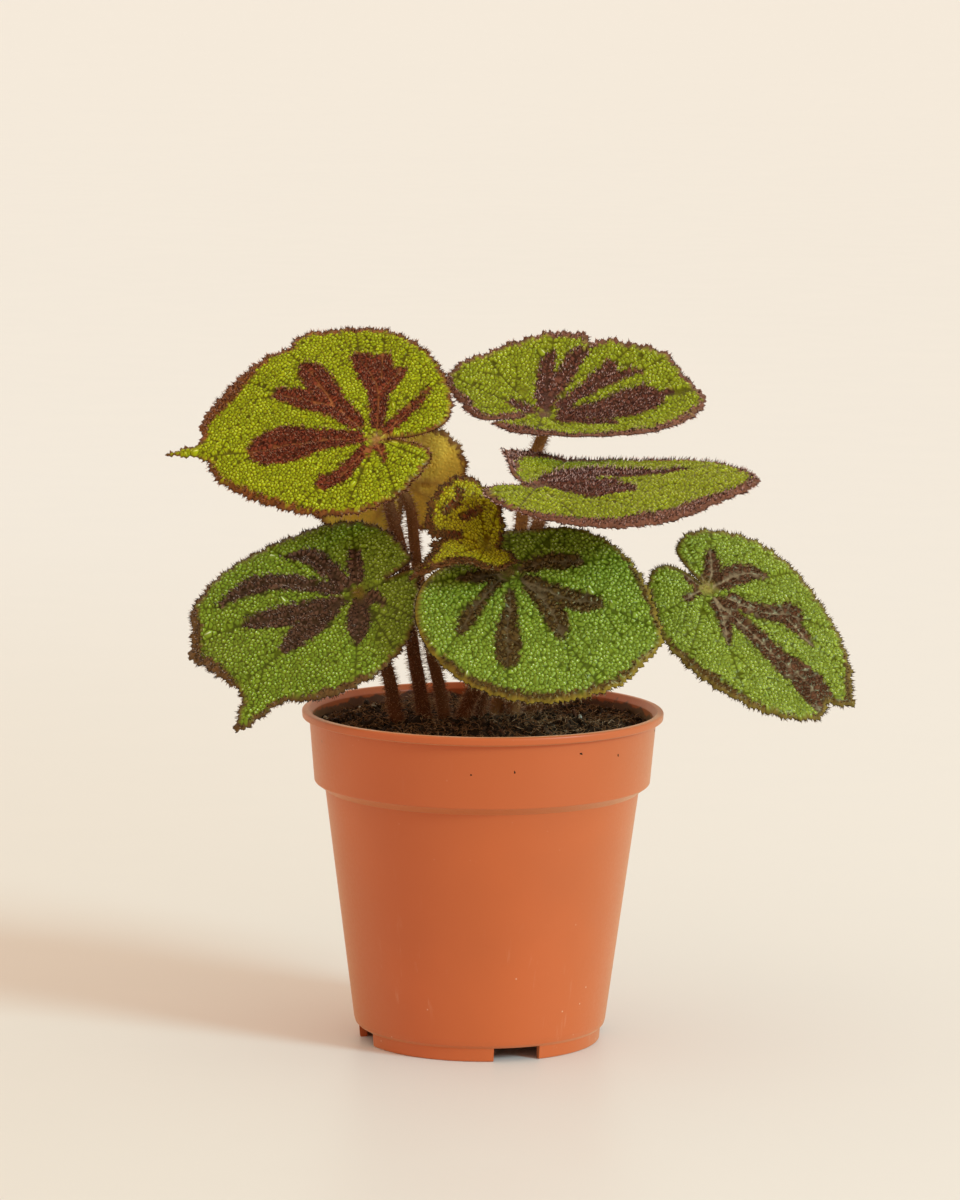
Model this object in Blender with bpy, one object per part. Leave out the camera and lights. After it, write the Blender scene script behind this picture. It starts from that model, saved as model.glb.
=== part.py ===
"""Iron cross begonia in a plastic nursery pot: pot, soil, rhizome with roots, eight blades and their stalks.

Sizes below are millimetres and degrees, and MM turns them into Blender's metres.
The pot's axis is x = y = 0 while the pieces are built, and the viewer stands at -Y. At the end one empty
carries every piece, so that the middle of the whole plant's base lies on the world origin.
A blade is a sheet over a plane through its hub, the point where its stalk holds it. Its outline is a smooth
curve through eight dimensions, the distances from the hub to the margin at every 45 degrees from the tip.
"""
import math
import random

import bpy
import numpy as np
from mathutils import Vector, geometry

MM = 0.001
GAP = 0.3

# Pot
POT_SIDES = 56
POT_HEIGHT = 110.5
LIP_RADIUS = 60.0
COLLAR_TOP_RADIUS, COLLAR_TOP_Z = 57.5, 105.6
COLLAR_FOOT_RADIUS, COLLAR_FOOT_Z = 55.7, 86.6
BODY_TOP_RADIUS, BODY_TOP_Z = 52.1, 84.0
BODY_FOOT_RADIUS, BODY_FOOT_Z = 42.0, 7.1
FOOT_RADIUS, FOOT_HEIGHT, FOOT_WIDTH = 40.0, 4.4, 2.4
POT_WALL = 1.2
NOTCH_BEARINGS = (18, 108, 198, 288)
NOTCH_WIDTH, NOTCH_FROM, NOTCH_TO, NOTCH_HEIGHT = 15.7, 34.0, 44.0, 4.65
DRAIN_RADIUS, DRAIN_FROM_AXIS, DRAIN_SIDES = 4.0, 29.0, 12

# Soil
SOIL_SIDES = 40
SOIL_EDGE_Z, SOIL_MOUND = 102.5, 1.8
SOIL_CLEARANCE = 0.45
SOIL_LUMP = 0.9
SOIL_RING_SHARES = (0.86, 0.7, 0.54, 0.38, 0.22)

# Rhizome: a knobbly stem half sunk in the soil, with fibrous roots under it
RHIZOME_ROUTE = ((-31, -7, 98.5), (-20, -2, 99.5), (-8, 2, 99.5), (4, 6, 99), (15, 10, 98.5))
RHIZOME_RADIUS, RHIZOME_KNOB, RHIZOME_SIDES = 5.8, 0.5, 10
ROOT_RADIUS, ROOT_SIDES = 1.1, 6
ROOT_FEET = ((-36, -14, 62), (-24, 12, 48), (-10, -20, 40), (2, 18, 30), (14, -12, 52), (24, 22, 60))

# Blades
BLADE_THICKNESS = 0.9
TOOTH_PITCH, TOOTH_DEPTH = 6.2, 0.7
EDGE_CLEARANCE = 1.6
CELL = 4.9
BUMP_HEIGHT, VEIN_DEPTH = 0.9, 0.45
HUB_DISC = 3.2
VEIN_FROM, VEIN_STEP, VEIN_REACH, VEIN_CLEARANCE = 7.5, 7.0, 0.86, 1.9
VEIN_BEARINGS = (0, 34, -34, 70, -70, 112, -112, 150, -150)
STEP = 45

# Stalks
STALK_SIDES = 8
STALK_FOOT_RADIUS, STALK_TOP_RADIUS = 2.3, 1.7
STALK_STRAIGHT = 8.0

# hub: where the stalk holds the blade. face: the way its upper side looks, degrees to the right of the
# viewer and degrees up. turn: the tip's direction in the blade's plane, anticlockwise from level right.
# tip, shoulders, sides, lobes, back: the margin's distances at 0, 45, 90, 135 and 180 degrees from the tip,
# where each pair is first the anticlockwise side, then the clockwise one.
# bend: rise at 40 mm up the slope, across it, and the twist between them.
# points: (bearing, length, half width) of tips and dents. sinus: (bearing, share cut away, half width).
# curls: (bearing, half width, rise at the margin). crease: (slope, round, bearing). arch: (rise, middle, half).
# route: the stalk's own points, from the rhizome upwards.
BLADES = {
    "upper_left": dict(
        hub=(-36, 2, 200), face=(-6, 43), turn=-175, bend=(-2, -1, 0), sinus=(176, 0.85, 9),
        tip=55, shoulders=(38, 54), sides=(25.5, 48.5), lobes=(19, 33), back=24,
        points=((0, 13, 6), (-57, -2, 4)),
        route=((-18, -1, 101), (-20, -2, 112), (-24, -2, 135), (-27, 1, 160), (-32, 7, 178)),
    ),
    "upper_right": dict(
        hub=(19, 20, 207), face=(0, 67), turn=13, bend=(15, -1, 0), sinus=(183, 0.85, 6),
        tip=53, shoulders=(41, 35), sides=(35.5, 27), lobes=(37, 22), back=25,
        points=((0, 4, 9), (20, 3, 12), (60, -3, 5)),
        route=((4, 6, 101), (5, 9, 112), (10, 12, 150), (14, 16, 185)),
    ),
    "middle_right": dict(
        hub=(17, -31, 188.5), face=(10, 79), turn=-4, bend=(-5, 1, 0), sinus=(163, 0.85, 14),
        tip=67, shoulders=(51, 46), sides=(39, 30), lobes=(14, 23), back=20,
        points=((0, 4, 9), (22, 3, 12)),
        curls=((125, 30, 5),),
        route=((9.5, 7, 100.5), (10.5, 5, 112), (11.5, 0, 140), (15, -8, 165), (18, -15, 176)),
    ),
    "lower_left": dict(
        hub=(-41, -22, 152), face=(-16, 42), turn=-122, bend=(-2, -1, 0), sinus=(176, 0.85, 5),
        tip=48, shoulders=(35, 55), sides=(25, 37), lobes=(20, 28), back=20,
        points=((0, 15, 6), (-34, 4, 5)),
        curls=((-35, 9, -5),),
        route=((-27, -5, 100), (-28.5, -6, 108), (-32, -7, 125)),
    ),
    "lower_front": dict(
        hub=(8, -34, 161), face=(6, 40), turn=-26, bend=(-4, -3, 0), sinus=(167, 0.92, 34),
        tip=50, shoulders=(38, 48), sides=(20, 42), lobes=(21, 36), back=30,
        points=((0, 4, 10), (-22, 2, 12)),
        route=((-7, 0, 101), (-6, -4, 110), (2, -15, 132)),
    ),
    "lower_right": dict(
        hub=(74, 0, 152), face=(22, 36), turn=-47, bend=(-2, -2, 0), sinus=(178, 0.9, 9),
        tip=59, shoulders=(39, 38), sides=(27, 27), lobes=(22, 21), back=20,
        points=((3, 3, 4), (-5, -4, 3)),
        route=((12, 9, 98.5), (17, 9, 110), (30, 5, 127), (54, 4, 144)),
    ),
    "young_folded": dict(
        hub=(0.5, -34.5, 168.5), face=(0, 48), turn=187, bend=(0, 0, 0), sinus=(180, 0.1, 9),
        tip=18, shoulders=(9, 22), sides=(7.5, 22), lobes=(9.5, 9), back=4.5,
        points=((0, 9, 14), (-13, -3, 5)),
        crease=(0.35, 2, 0),
        arch=(5, 14, 15),
        route=((-1, 4, 101), (-0.5, 2, 112), (1, -6, 135), (1.5, -20, 155)),
    ),
    "behind_left": dict(
        hub=(-28, 22, 184), face=(172, 12), turn=60, bend=(-2, -1, 0), sinus=(205, 0.85, 6),
        tip=24, shoulders=(22, 31), sides=(23.5, 31), lobes=(20.5, 20), back=18.5,
        points=((0, 2, 9),),
        route=((-12, 1, 101), (-13.5, 3.5, 112), (-18, 7, 132), (-22.5, 9.5, 158), (-25, 14, 176)),
    ),
}
STALK_SCALE = {"young_folded": 0.8, "behind_left": 0.9}

POT_COLOUR = (0.55, 0.17, 0.07)
SOIL_COLOUR = (0.018, 0.012, 0.009)
RHIZOME_COLOUR = (0.16, 0.07, 0.04)
STALK_COLOUR = (0.20, 0.08, 0.05)
OLD_GREEN = (0.08, 0.20, 0.035)
YOUNG_GREEN = (0.25, 0.38, 0.02)
UNDERSIDE_TAN = (0.42, 0.36, 0.10)
BLADE_COLOURS = {
    "upper_left": YOUNG_GREEN,
    "young_folded": YOUNG_GREEN,
    "behind_left": UNDERSIDE_TAN,
}


def clear_scene():
    for obj in list(bpy.data.objects):
        bpy.data.objects.remove(obj, do_unlink=True)


def material(name, colour, roughness):
    made = bpy.data.materials.new(name)
    made.use_nodes = True
    shader = made.node_tree.nodes["Principled BSDF"]
    shader.inputs["Base Color"].default_value = (*colour, 1.0)
    shader.inputs["Roughness"].default_value = roughness
    shader.inputs["Metallic"].default_value = 0.0
    made.diffuse_color = (*colour, 1.0)
    return made


def mesh_object(name, points, faces, made=None):
    """An object from points in millimetres."""
    mesh = bpy.data.meshes.new(name)
    mesh.from_pydata([tuple(float(v) * MM for v in point) for point in points], [], faces)
    mesh.validate()
    obj = bpy.data.objects.new(name, mesh)
    bpy.context.scene.collection.objects.link(obj)
    if made:
        mesh.materials.append(made)
    return obj


def as_cutter(obj):
    obj.hide_render = True
    obj.display_type = "WIRE"
    return obj


def cut(obj, cutter):
    boolean = obj.modifiers.new("cut", "BOOLEAN")
    boolean.operation = "DIFFERENCE"
    boolean.solver = "EXACT"
    boolean.object = cutter


def join(obj, others):
    """Fuses the others into the object by one Boolean union, and removes them."""
    group = bpy.data.collections.new(obj.name + "_pieces")
    for other in others:
        group.objects.link(other)
    boolean = obj.modifiers.new("join", "BOOLEAN")
    boolean.operation = "UNION"
    boolean.solver = "EXACT"
    boolean.operand_type = "COLLECTION"
    boolean.collection = group
    graph = bpy.context.evaluated_depsgraph_get()
    joined = bpy.data.meshes.new_from_object(obj.evaluated_get(graph))
    obj.modifiers.clear()
    obj.data = joined
    for other in others:
        bpy.data.objects.remove(other, do_unlink=True)
    bpy.data.collections.remove(group)


def turned(name, profile, sides, made=None, height_of=None):
    """A body turned about Z. The profile runs from the axis up the outside and back to the axis."""
    points = [(0.0, 0.0, profile[0][1])]
    for radius, z in profile[1:-1]:
        for i in range(sides):
            a = math.tau * i / sides
            x, y = radius * math.cos(a), radius * math.sin(a)
            points.append((x, y, height_of(x, y, z) if height_of else z))
    points.append((0.0, 0.0, height_of(0, 0, profile[-1][1]) if height_of else profile[-1][1]))
    last = len(points) - 1
    faces = []
    for i in range(sides):
        j = (i + 1) % sides
        faces.append((0, 1 + j, 1 + i))
        faces.append((last, last - sides + i, last - sides + j))
    for ring in range(len(profile) - 3):
        low, high = 1 + ring * sides, 1 + (ring + 1) * sides
        for i in range(sides):
            j = (i + 1) % sides
            faces.append((low + i, low + j, high + j))
            faces.append((low + i, high + j, high + i))
    obj = mesh_object(name, points, faces, made)
    obj.data.shade_smooth()
    obj.data.set_sharp_from_angle(angle=math.radians(32))
    return obj


def smooth_route(route, steps):
    """Points along a curve through the route's points."""
    knots = [np.array(point, float) for point in route]
    knots = [2 * knots[0] - knots[1]] + knots + [2 * knots[-1] - knots[-2]]
    points = []
    for a, b, c, d in zip(knots, knots[1:], knots[2:], knots[3:]):
        for k in range(steps):
            t = k / steps
            linear = (c - a) * t
            square = (2 * a - 5 * b + 4 * c - d) * t * t
            cube = (3 * b - a - 3 * c + d) * t ** 3
            points.append(0.5 * (2 * b + linear + square + cube))
    points.append(knots[-2])
    return points


def unit(vector):
    return vector / np.linalg.norm(vector)


def tube(name, points, radii, sides, made=None, last_normal=None):
    """A round rod along the points, with flat ends. last_normal tilts the last ring."""
    middles = np.array(points)
    tangents = np.gradient(middles, axis=0)
    side = np.array((1.0, 0.0, 0.0))
    rings = []
    for i, (middle, tangent, radius) in enumerate(zip(middles, tangents, radii)):
        along = unit(tangent)
        if last_normal is not None and i == len(middles) - 1:
            along = last_normal
        side = unit(side - along * side.dot(along))
        other = np.cross(along, side)
        for k in range(sides):
            a = math.tau * k / sides
            rings.append(middle + radius * (math.cos(a) * side + math.sin(a) * other))
    faces = [tuple(reversed(range(sides)))]
    for ring in range(len(middles) - 1):
        low, high = ring * sides, (ring + 1) * sides
        for k in range(sides):
            m = (k + 1) % sides
            faces.append((low + k, low + m, high + m, high + k))
    faces.append(tuple(range(len(rings) - sides, len(rings))))
    obj = mesh_object(name, rings, faces, made)
    obj.data.shade_smooth()
    return obj


def inner_wall(z):
    """The pot's inner radius at a height."""
    heights = (BODY_FOOT_Z, BODY_TOP_Z + POT_WALL, COLLAR_FOOT_Z + POT_WALL, COLLAR_TOP_Z)
    outer = (BODY_FOOT_RADIUS, BODY_TOP_RADIUS, COLLAR_FOOT_RADIUS, COLLAR_TOP_RADIUS)
    return float(np.interp(z, heights, outer)) - POT_WALL


def pot():
    floor_top = FOOT_HEIGHT + POT_WALL
    profile = [
        (0, FOOT_HEIGHT),
        (FOOT_RADIUS - FOOT_WIDTH, FOOT_HEIGHT),
        (FOOT_RADIUS - FOOT_WIDTH, 0),
        (FOOT_RADIUS, 0),
        (FOOT_RADIUS + 0.4, FOOT_HEIGHT),
        (BODY_FOOT_RADIUS - 0.4, BODY_FOOT_Z - 1.6),
        (BODY_FOOT_RADIUS, BODY_FOOT_Z),
        (BODY_TOP_RADIUS, BODY_TOP_Z),
        (COLLAR_FOOT_RADIUS, COLLAR_FOOT_Z),
        (COLLAR_TOP_RADIUS, COLLAR_TOP_Z),
        (LIP_RADIUS - 0.5, COLLAR_TOP_Z + 1.2),
        (LIP_RADIUS, COLLAR_TOP_Z + 2.9),
        (LIP_RADIUS - 0.6, POT_HEIGHT - 0.5),
        (LIP_RADIUS - 1.8, POT_HEIGHT),
        (LIP_RADIUS - 3.2, POT_HEIGHT - 0.6),
        (inner_wall(COLLAR_TOP_Z), COLLAR_TOP_Z),
        (inner_wall(COLLAR_FOOT_Z + POT_WALL), COLLAR_FOOT_Z + POT_WALL),
        (inner_wall(BODY_TOP_Z + POT_WALL), BODY_TOP_Z + POT_WALL),
        (inner_wall(BODY_FOOT_Z), BODY_FOOT_Z),
        (inner_wall(BODY_FOOT_Z) - 1.4, floor_top),
        (0, floor_top),
    ]
    obj = turned("pot", profile, POT_SIDES, material("pot_plastic", POT_COLOUR, 0.38))
    cut(obj, notch_cutter())
    cut(obj, drain_cutter())
    return obj


def around(bearing, radius):
    """A point at a bearing, counted from the viewer's side towards the right."""
    a = math.radians(bearing)
    return math.sin(a) * radius, -math.cos(a) * radius


def notch_cutter():
    """Four boxes through the foot ring."""
    points, faces = [], []
    for bearing in NOTCH_BEARINGS:
        start = len(points)
        a = math.radians(bearing)
        out = Vector((math.sin(a), -math.cos(a), 0))
        across = Vector((math.cos(a), math.sin(a), 0))
        for z in (-1.0, NOTCH_HEIGHT):
            for radius, half in ((NOTCH_FROM, -0.5), (NOTCH_TO, -0.5), (NOTCH_TO, 0.5), (NOTCH_FROM, 0.5)):
                point = out * radius + across * (half * NOTCH_WIDTH)
                points.append((point.x, point.y, z))
        sides = [(k, (k + 1) % 4, 4 + (k + 1) % 4, 4 + k) for k in range(4)]
        for face in [(3, 2, 1, 0), (4, 5, 6, 7)] + sides:
            faces.append(tuple(start + k for k in face))
    return as_cutter(mesh_object("cut_notches", points, faces))


def drain_cutter():
    """Four round rods through the pot's floor."""
    points, faces = [], []
    count = DRAIN_SIDES
    for bearing in NOTCH_BEARINGS:
        start = len(points)
        x, y = around(bearing, DRAIN_FROM_AXIS)
        for z in (FOOT_HEIGHT - 2, FOOT_HEIGHT + POT_WALL + 2):
            for k in range(count):
                a = math.tau * k / count
                points.append((x + DRAIN_RADIUS * math.cos(a), y + DRAIN_RADIUS * math.sin(a), z))
        faces.append(tuple(start + k for k in reversed(range(count))))
        faces.append(tuple(start + count + k for k in range(count)))
        for k in range(count):
            m = (k + 1) % count
            faces.append((start + k, start + m, start + count + m, start + count + k))
    return as_cutter(mesh_object("cut_drains", points, faces))


def soil_height(draw):
    """A low mound with lumps, as a function of place."""
    waves = []
    for _ in range(14):
        angle, pitch = draw.uniform(0, math.tau), draw.uniform(7, 16)
        waves.append((math.cos(angle) / pitch, math.sin(angle) / pitch, draw.uniform(0, math.tau)))

    def height(x, y, z):
        if z < SOIL_EDGE_Z:
            return z
        share = math.hypot(x, y) / inner_wall(SOIL_EDGE_Z)
        lumps = sum(math.sin(math.tau * (x * a + y * b) + c) for a, b, c in waves) / 4
        return z + SOIL_MOUND * (1 - share ** 2) + SOIL_LUMP * lumps * min(1, 1.2 - share)

    return height


def soil(buried):
    """The root ball: it fills the pot, and opens round the rhizome, its roots and the stalks' feet."""
    bottom = FOOT_HEIGHT + POT_WALL + GAP

    def fill(z):
        return inner_wall(z) - SOIL_CLEARANCE

    profile = [
        (0, bottom),
        (fill(BODY_FOOT_Z) - 1.6, bottom),
        (fill(BODY_FOOT_Z), BODY_FOOT_Z + 0.2),
        (fill(BODY_TOP_Z) - GAP, BODY_TOP_Z + POT_WALL - GAP),
        (fill(COLLAR_FOOT_Z + POT_WALL), COLLAR_FOOT_Z + POT_WALL + 3 * GAP),
        (fill(SOIL_EDGE_Z), SOIL_EDGE_Z),
    ]
    profile += [(fill(SOIL_EDGE_Z) * share, SOIL_EDGE_Z) for share in SOIL_RING_SHARES]
    profile.append((0, SOIL_EDGE_Z))
    height = soil_height(random.Random(4))
    obj = turned("soil", profile, SOIL_SIDES, material("soil", SOIL_COLOUR, 0.95), height)
    for cutter in buried:
        cut(obj, cutter)
    return obj


def rhizome_parts(name, grow, made=None):
    """The rhizome and its roots fused in one body, larger by grow all round."""
    route = smooth_route(RHIZOME_ROUTE, 4)
    route[0] = route[0] + grow * unit(route[0] - route[1])
    route[-1] = route[-1] + grow * unit(route[-1] - route[-2])
    count = len(route)
    radii = []
    for i in range(count):
        end = min(i, count - 1 - i) / 2
        round_off = math.sqrt(max(0.12, 1 - max(0, 1 - end) ** 2))
        radii.append((RHIZOME_RADIUS + RHIZOME_KNOB * math.sin(2.3 * i)) * round_off + grow)
    stem = tube(name, route, radii, RHIZOME_SIDES, made)
    roots = []
    for i, foot in enumerate(ROOT_FEET):
        top = route[1 + i * (count - 3) // (len(ROOT_FEET) - 1)]
        foot = np.array(foot, float)
        middle = 0.5 * (top + foot) + np.array((4 * math.sin(2 * i), 4 * math.cos(3 * i), 6))
        line = smooth_route((top, middle, foot), 3)
        line[-1] = line[-1] - np.array((0, 0, grow))
        thin = np.linspace(ROOT_RADIUS * 1.3, ROOT_RADIUS * 0.6, len(line)) + grow
        roots.append(tube(f"{name}_root_{i}", line, thin, ROOT_SIDES))
    join(stem, roots)
    return stem


def plane_axes(face):
    """Level, up-slope and normal directions of a blade's plane."""
    right, up = np.radians(face)
    normal = np.array((np.sin(right) * np.cos(up), -np.cos(right) * np.cos(up), np.sin(up)))
    level = np.array((np.cos(right), np.sin(right), 0.0))
    return level, np.cross(normal, level), normal


def away(bearing, other):
    return (np.asarray(bearing) - other + 180) % 360 - 180


def distances(blade):
    """The margin's eight distances, anticlockwise from the tip."""
    (left_1, right_1), (left_2, right_2), (left_3, right_3) = blade["shoulders"], blade["sides"], blade["lobes"]
    return np.array((blade["tip"], left_1, left_2, left_3, blade["back"], right_3, right_2, right_1), float)


def margin(blade, bearing):
    """The distance from the hub to the smooth margin."""
    reach = distances(blade)
    count = len(reach)
    place = (np.asarray(bearing, float) % 360) / STEP
    i = np.floor(place).astype(int)
    t = place - i
    a, b, c, d = reach[(i - 1) % count], reach[i % count], reach[(i + 1) % count], reach[(i + 2) % count]
    r = 0.5 * (2 * b + (c - a) * t + (2 * a - 5 * b + 4 * c - d) * t ** 2 + (3 * b - a - 3 * c + d) * t ** 3)
    for at, length, half in blade["points"]:
        r = r + length * np.exp(-np.abs(away(bearing, at) / half) ** 1.6)
    at, share, half = blade["sinus"]
    return r * (1 - share * np.exp(-np.abs(away(bearing, at) / half) ** 1.5))


def rise(blade, p, q):
    """The sheet's height over its plane, p along the level axis and q up the slope."""
    slope, across, twist = blade["bend"]
    w = (slope * q * q + across * p * p + twist * p * q) / 1600
    bearing = np.degrees(np.arctan2(q, p)) - blade["turn"]
    r = np.hypot(p, q)
    if "crease" in blade:
        steep, rounded, at = blade["crease"]
        off = r * np.sin(np.radians(bearing - at))
        w = w + steep * (np.sqrt(off ** 2 + rounded ** 2) - rounded)
    if "arch" in blade:
        height, middle, half = blade["arch"]
        along = r * np.cos(np.radians(bearing))
        w = w + height * np.maximum(0, 1 - ((along - middle) / half) ** 2)
    share = np.minimum(r / np.maximum(margin(blade, bearing), 1), 1.1)
    for at, half, lift in blade.get("curls", ()):
        w = w + lift * share ** 3 * np.exp(-(away(bearing, at) / half) ** 2)
    return w


def toothed_outline(blade):
    """The blade's outline in its plane, with every other point drawn out as a tooth."""
    bearing = np.linspace(-180, 180, 3001) + blade["sinus"][0]
    r = margin(blade, bearing)
    angle = np.radians(bearing + blade["turn"])
    line = np.stack((r * np.cos(angle), r * np.sin(angle)), axis=1)
    length = np.concatenate(((0,), np.cumsum(np.linalg.norm(np.diff(line, axis=0), axis=1))))
    teeth = int(length[-1] / TOOTH_PITCH)
    marks = np.linspace(0, length[-1], 2 * teeth, endpoint=False)
    points = np.stack([np.interp(marks, length, line[:, k]) for k in (0, 1)], axis=1)
    at = np.interp(marks, length, bearing)
    sides = np.roll(points, -1, axis=0) - np.roll(points, 1, axis=0)
    outward = np.stack((sides[:, 1], -sides[:, 0]), axis=1)
    outward /= np.maximum(np.linalg.norm(outward, axis=1), 1e-6)[:, None]
    sign = np.where(np.arange(len(points)) % 2 == 0, 1.0, -1.0)
    calm = np.clip(np.abs(away(at, blade["sinus"][0])) / blade["sinus"][2] / 2 - 0.9, 0, 1)
    return points + outward * (TOOTH_DEPTH * sign * calm)[:, None]


def inside_points(blade):
    """Places inside the outline with their heights: hub disc, vein points, then a puckered lattice."""
    angles = np.radians(np.arange(0, 360, 60))
    places = [(0.0, 0.0, 0.0)]
    places += [(HUB_DISC * np.cos(a), HUB_DISC * np.sin(a), 0.0) for a in angles]
    veins = []
    for bearing in VEIN_BEARINGS:
        end = VEIN_REACH * float(margin(blade, bearing))
        if end < VEIN_FROM + VEIN_STEP / 2:
            continue
        a = math.radians(bearing + blade["turn"])
        veins.append((math.cos(a), math.sin(a), end))
        for r in np.linspace(VEIN_FROM, end, max(2, round((end - VEIN_FROM) / VEIN_STEP) + 1)):
            places.append((r * math.cos(a), r * math.sin(a), -VEIN_DEPTH))
    rows = int((max(distances(blade)) + 12) / (CELL * 0.866)) + 1
    for j in range(-rows, rows + 1):
        for i in range(-2 * rows, 2 * rows + 1):
            p = CELL * (i + 0.5 * j)
            q = CELL * 0.866 * j
            r = math.hypot(p, q)
            bearing = math.degrees(math.atan2(q, p)) - blade["turn"]
            if r < HUB_DISC + 2.2 or r > float(margin(blade, bearing)) - 2.9:
                continue
            near = [abs(p * s - q * c) for c, s, end in veins if 0 < p * c + q * s < end + 2]
            if near and min(near) < VEIN_CLEARANCE:
                continue
            places.append((p, q, BUMP_HEIGHT if (i - j) % 3 == 0 else -0.1))
    return places


def blade_sheet(name, blade):
    """A thin closed sheet whose two faces are split alike."""
    outline = toothed_outline(blade)
    inner = [place for place in inside_points(blade) if inside(outline, place)]
    flat = [Vector(point) for point in outline] + [Vector(place[:2]) for place in inner]
    heights = [0.0] * len(outline) + [place[2] for place in inner]
    loop = list(range(len(outline)))
    made = geometry.delaunay_2d_cdt(flat, [], [loop], 1, 1e-5)
    points, faces, source = made[0], made[2], made[3]
    height = np.array([heights[old[0]] if old else 0.0 for old in source])
    p = np.array([point.x for point in points])
    q = np.array([point.y for point in points])
    level, slope, normal = plane_axes(blade["face"])
    middle = np.array(blade["hub"], float) + p[:, None] * level + q[:, None] * slope
    middle += (rise(blade, p, q) + height)[:, None] * normal
    half = 0.5 * BLADE_THICKNESS * normal
    count = len(points)
    triangles = []
    for a, b, c in faces:
        turn = (p[b] - p[a]) * (q[c] - q[a]) - (p[c] - p[a]) * (q[b] - q[a])
        triangles.append((a, b, c) if turn > 0 else (a, c, b))
    edges = {(a, b) for t in triangles for a, b in zip(t, t[1:] + t[:1])}
    skin = list(triangles)
    skin += [(c + count, b + count, a + count) for a, b, c in triangles]
    for a, b in sorted(edges):
        if (b, a) not in edges:
            skin.append((b, a, a + count))
            skin.append((b, a + count, b + count))
    sheet = np.concatenate((middle + half, middle - half))
    made = material(f"blade_{name}", BLADE_COLOURS.get(name, OLD_GREEN), 0.5)
    obj = mesh_object(f"blade_{name}", sheet, skin, made)
    obj.data.shade_smooth()
    return obj


def inside(outline, place):
    """True for a place inside the outline and not too near it."""
    point = np.array(place[:2])
    if np.min(np.linalg.norm(outline - point, axis=1)) < EDGE_CLEARANCE:
        return False
    x0, y0 = outline.T
    x1, y1 = np.roll(outline, -1, axis=0).T
    crosses = (y0 > point[1]) != (y1 > point[1])
    with np.errstate(divide="ignore", invalid="ignore"):
        at = x0 + (point[1] - y0) * (x1 - x0) / (y1 - y0)
    return int(np.sum(crosses & (at > point[0]))) % 2 == 1


def stalk(name, blade, grow=0.0, made=None, label="stalk"):
    """A stalk from inside the rhizome to just under its blade's hub."""
    normal = plane_axes(blade["face"])[2]
    hub = np.array(blade["hub"], float)
    seat = hub - normal * (0.5 * BLADE_THICKNESS + GAP)
    route = smooth_route((*blade["route"], hub - normal * STALK_STRAIGHT, seat), 3)
    scale = STALK_SCALE.get(name, 1.0)
    radii = np.linspace(STALK_FOOT_RADIUS, STALK_TOP_RADIUS, len(route)) * scale + grow
    return tube(f"{label}_{name}", route, radii, STALK_SIDES, made, normal)


def carry(pieces):
    """Parents every piece to one empty that brings the middle of the base to the world origin."""
    corners = []
    for obj in pieces:
        corners += [tuple(vertex.co) for vertex in obj.data.vertices]
    corners = np.array(corners)
    low, high = corners.min(axis=0), corners.max(axis=0)
    middle = (low + high) / 2
    holder = bpy.data.objects.new("begonia", None)
    bpy.context.scene.collection.objects.link(holder)
    holder.location = (-middle[0], -middle[1], -low[2])
    for obj in list(bpy.data.objects):
        if obj is not holder:
            obj.parent = holder


def main():
    clear_scene()
    core = as_cutter(rhizome_parts("cut_rhizome", GAP))
    buried = [core]
    pieces = [pot()]
    for name, blade in BLADES.items():
        pieces.append(blade_sheet(name, blade))
        rod = stalk(name, blade, 0.0, material(f"stalk_{name}", STALK_COLOUR, 0.6))
        cut(rod, core)
        pieces.append(rod)
        buried.append(as_cutter(stalk(name, blade, GAP, None, "cut")))
    pieces.append(rhizome_parts("rhizome", 0.0, material("rhizome", RHIZOME_COLOUR, 0.7)))
    pieces.append(soil(buried))
    carry(pieces)


main()
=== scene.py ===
"""Looks of a potted iron cross begonia: finely puckered and hairy leaves, hairy stalks, peat and a satin pot.

Shape values are millimetres and degrees from the pot's axis, and MM turns them into Blender's metres.
A leaf is a sheet over a plane through its hub, the point where its stalk holds it. A bearing on it counts
anticlockwise from its tip, seen from its upper side.
"""
import math

import bpy
import numpy as np
from bpy.props import FloatProperty, FloatVectorProperty, IntProperty, PointerProperty
from mathutils import Matrix, Vector, geometry


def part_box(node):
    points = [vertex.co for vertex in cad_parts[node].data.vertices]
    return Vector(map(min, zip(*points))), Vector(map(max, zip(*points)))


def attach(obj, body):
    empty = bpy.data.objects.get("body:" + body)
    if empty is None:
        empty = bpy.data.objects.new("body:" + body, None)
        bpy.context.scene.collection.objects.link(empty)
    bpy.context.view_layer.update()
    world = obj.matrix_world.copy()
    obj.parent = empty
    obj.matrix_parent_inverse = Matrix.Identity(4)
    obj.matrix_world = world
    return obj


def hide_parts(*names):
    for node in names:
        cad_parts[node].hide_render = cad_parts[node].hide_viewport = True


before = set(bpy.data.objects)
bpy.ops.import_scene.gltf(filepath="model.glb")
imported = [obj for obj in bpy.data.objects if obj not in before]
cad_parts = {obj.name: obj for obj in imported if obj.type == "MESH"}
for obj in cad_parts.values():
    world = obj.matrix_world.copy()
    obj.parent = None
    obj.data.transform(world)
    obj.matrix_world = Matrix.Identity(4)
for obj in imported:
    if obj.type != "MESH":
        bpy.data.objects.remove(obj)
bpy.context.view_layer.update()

bl_info = {
    "name": "Potted iron cross begonia",
    "version": (1, 0, 0),
    "blender": (4, 5, 0),
    "location": "3D View > Sidebar > Begonia",
    "description": "Makes the leaves, stalks, rhizome, soil, pot and studio of a potted iron cross begonia",
    "category": "Add Mesh",
}

MM = 0.001
POT_LOW, POT_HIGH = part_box("pot")
AXIS = np.array(((POT_LOW.x + POT_HIGH.x) / 2, (POT_LOW.y + POT_HIGH.y) / 2, 0.0)) / MM

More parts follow.
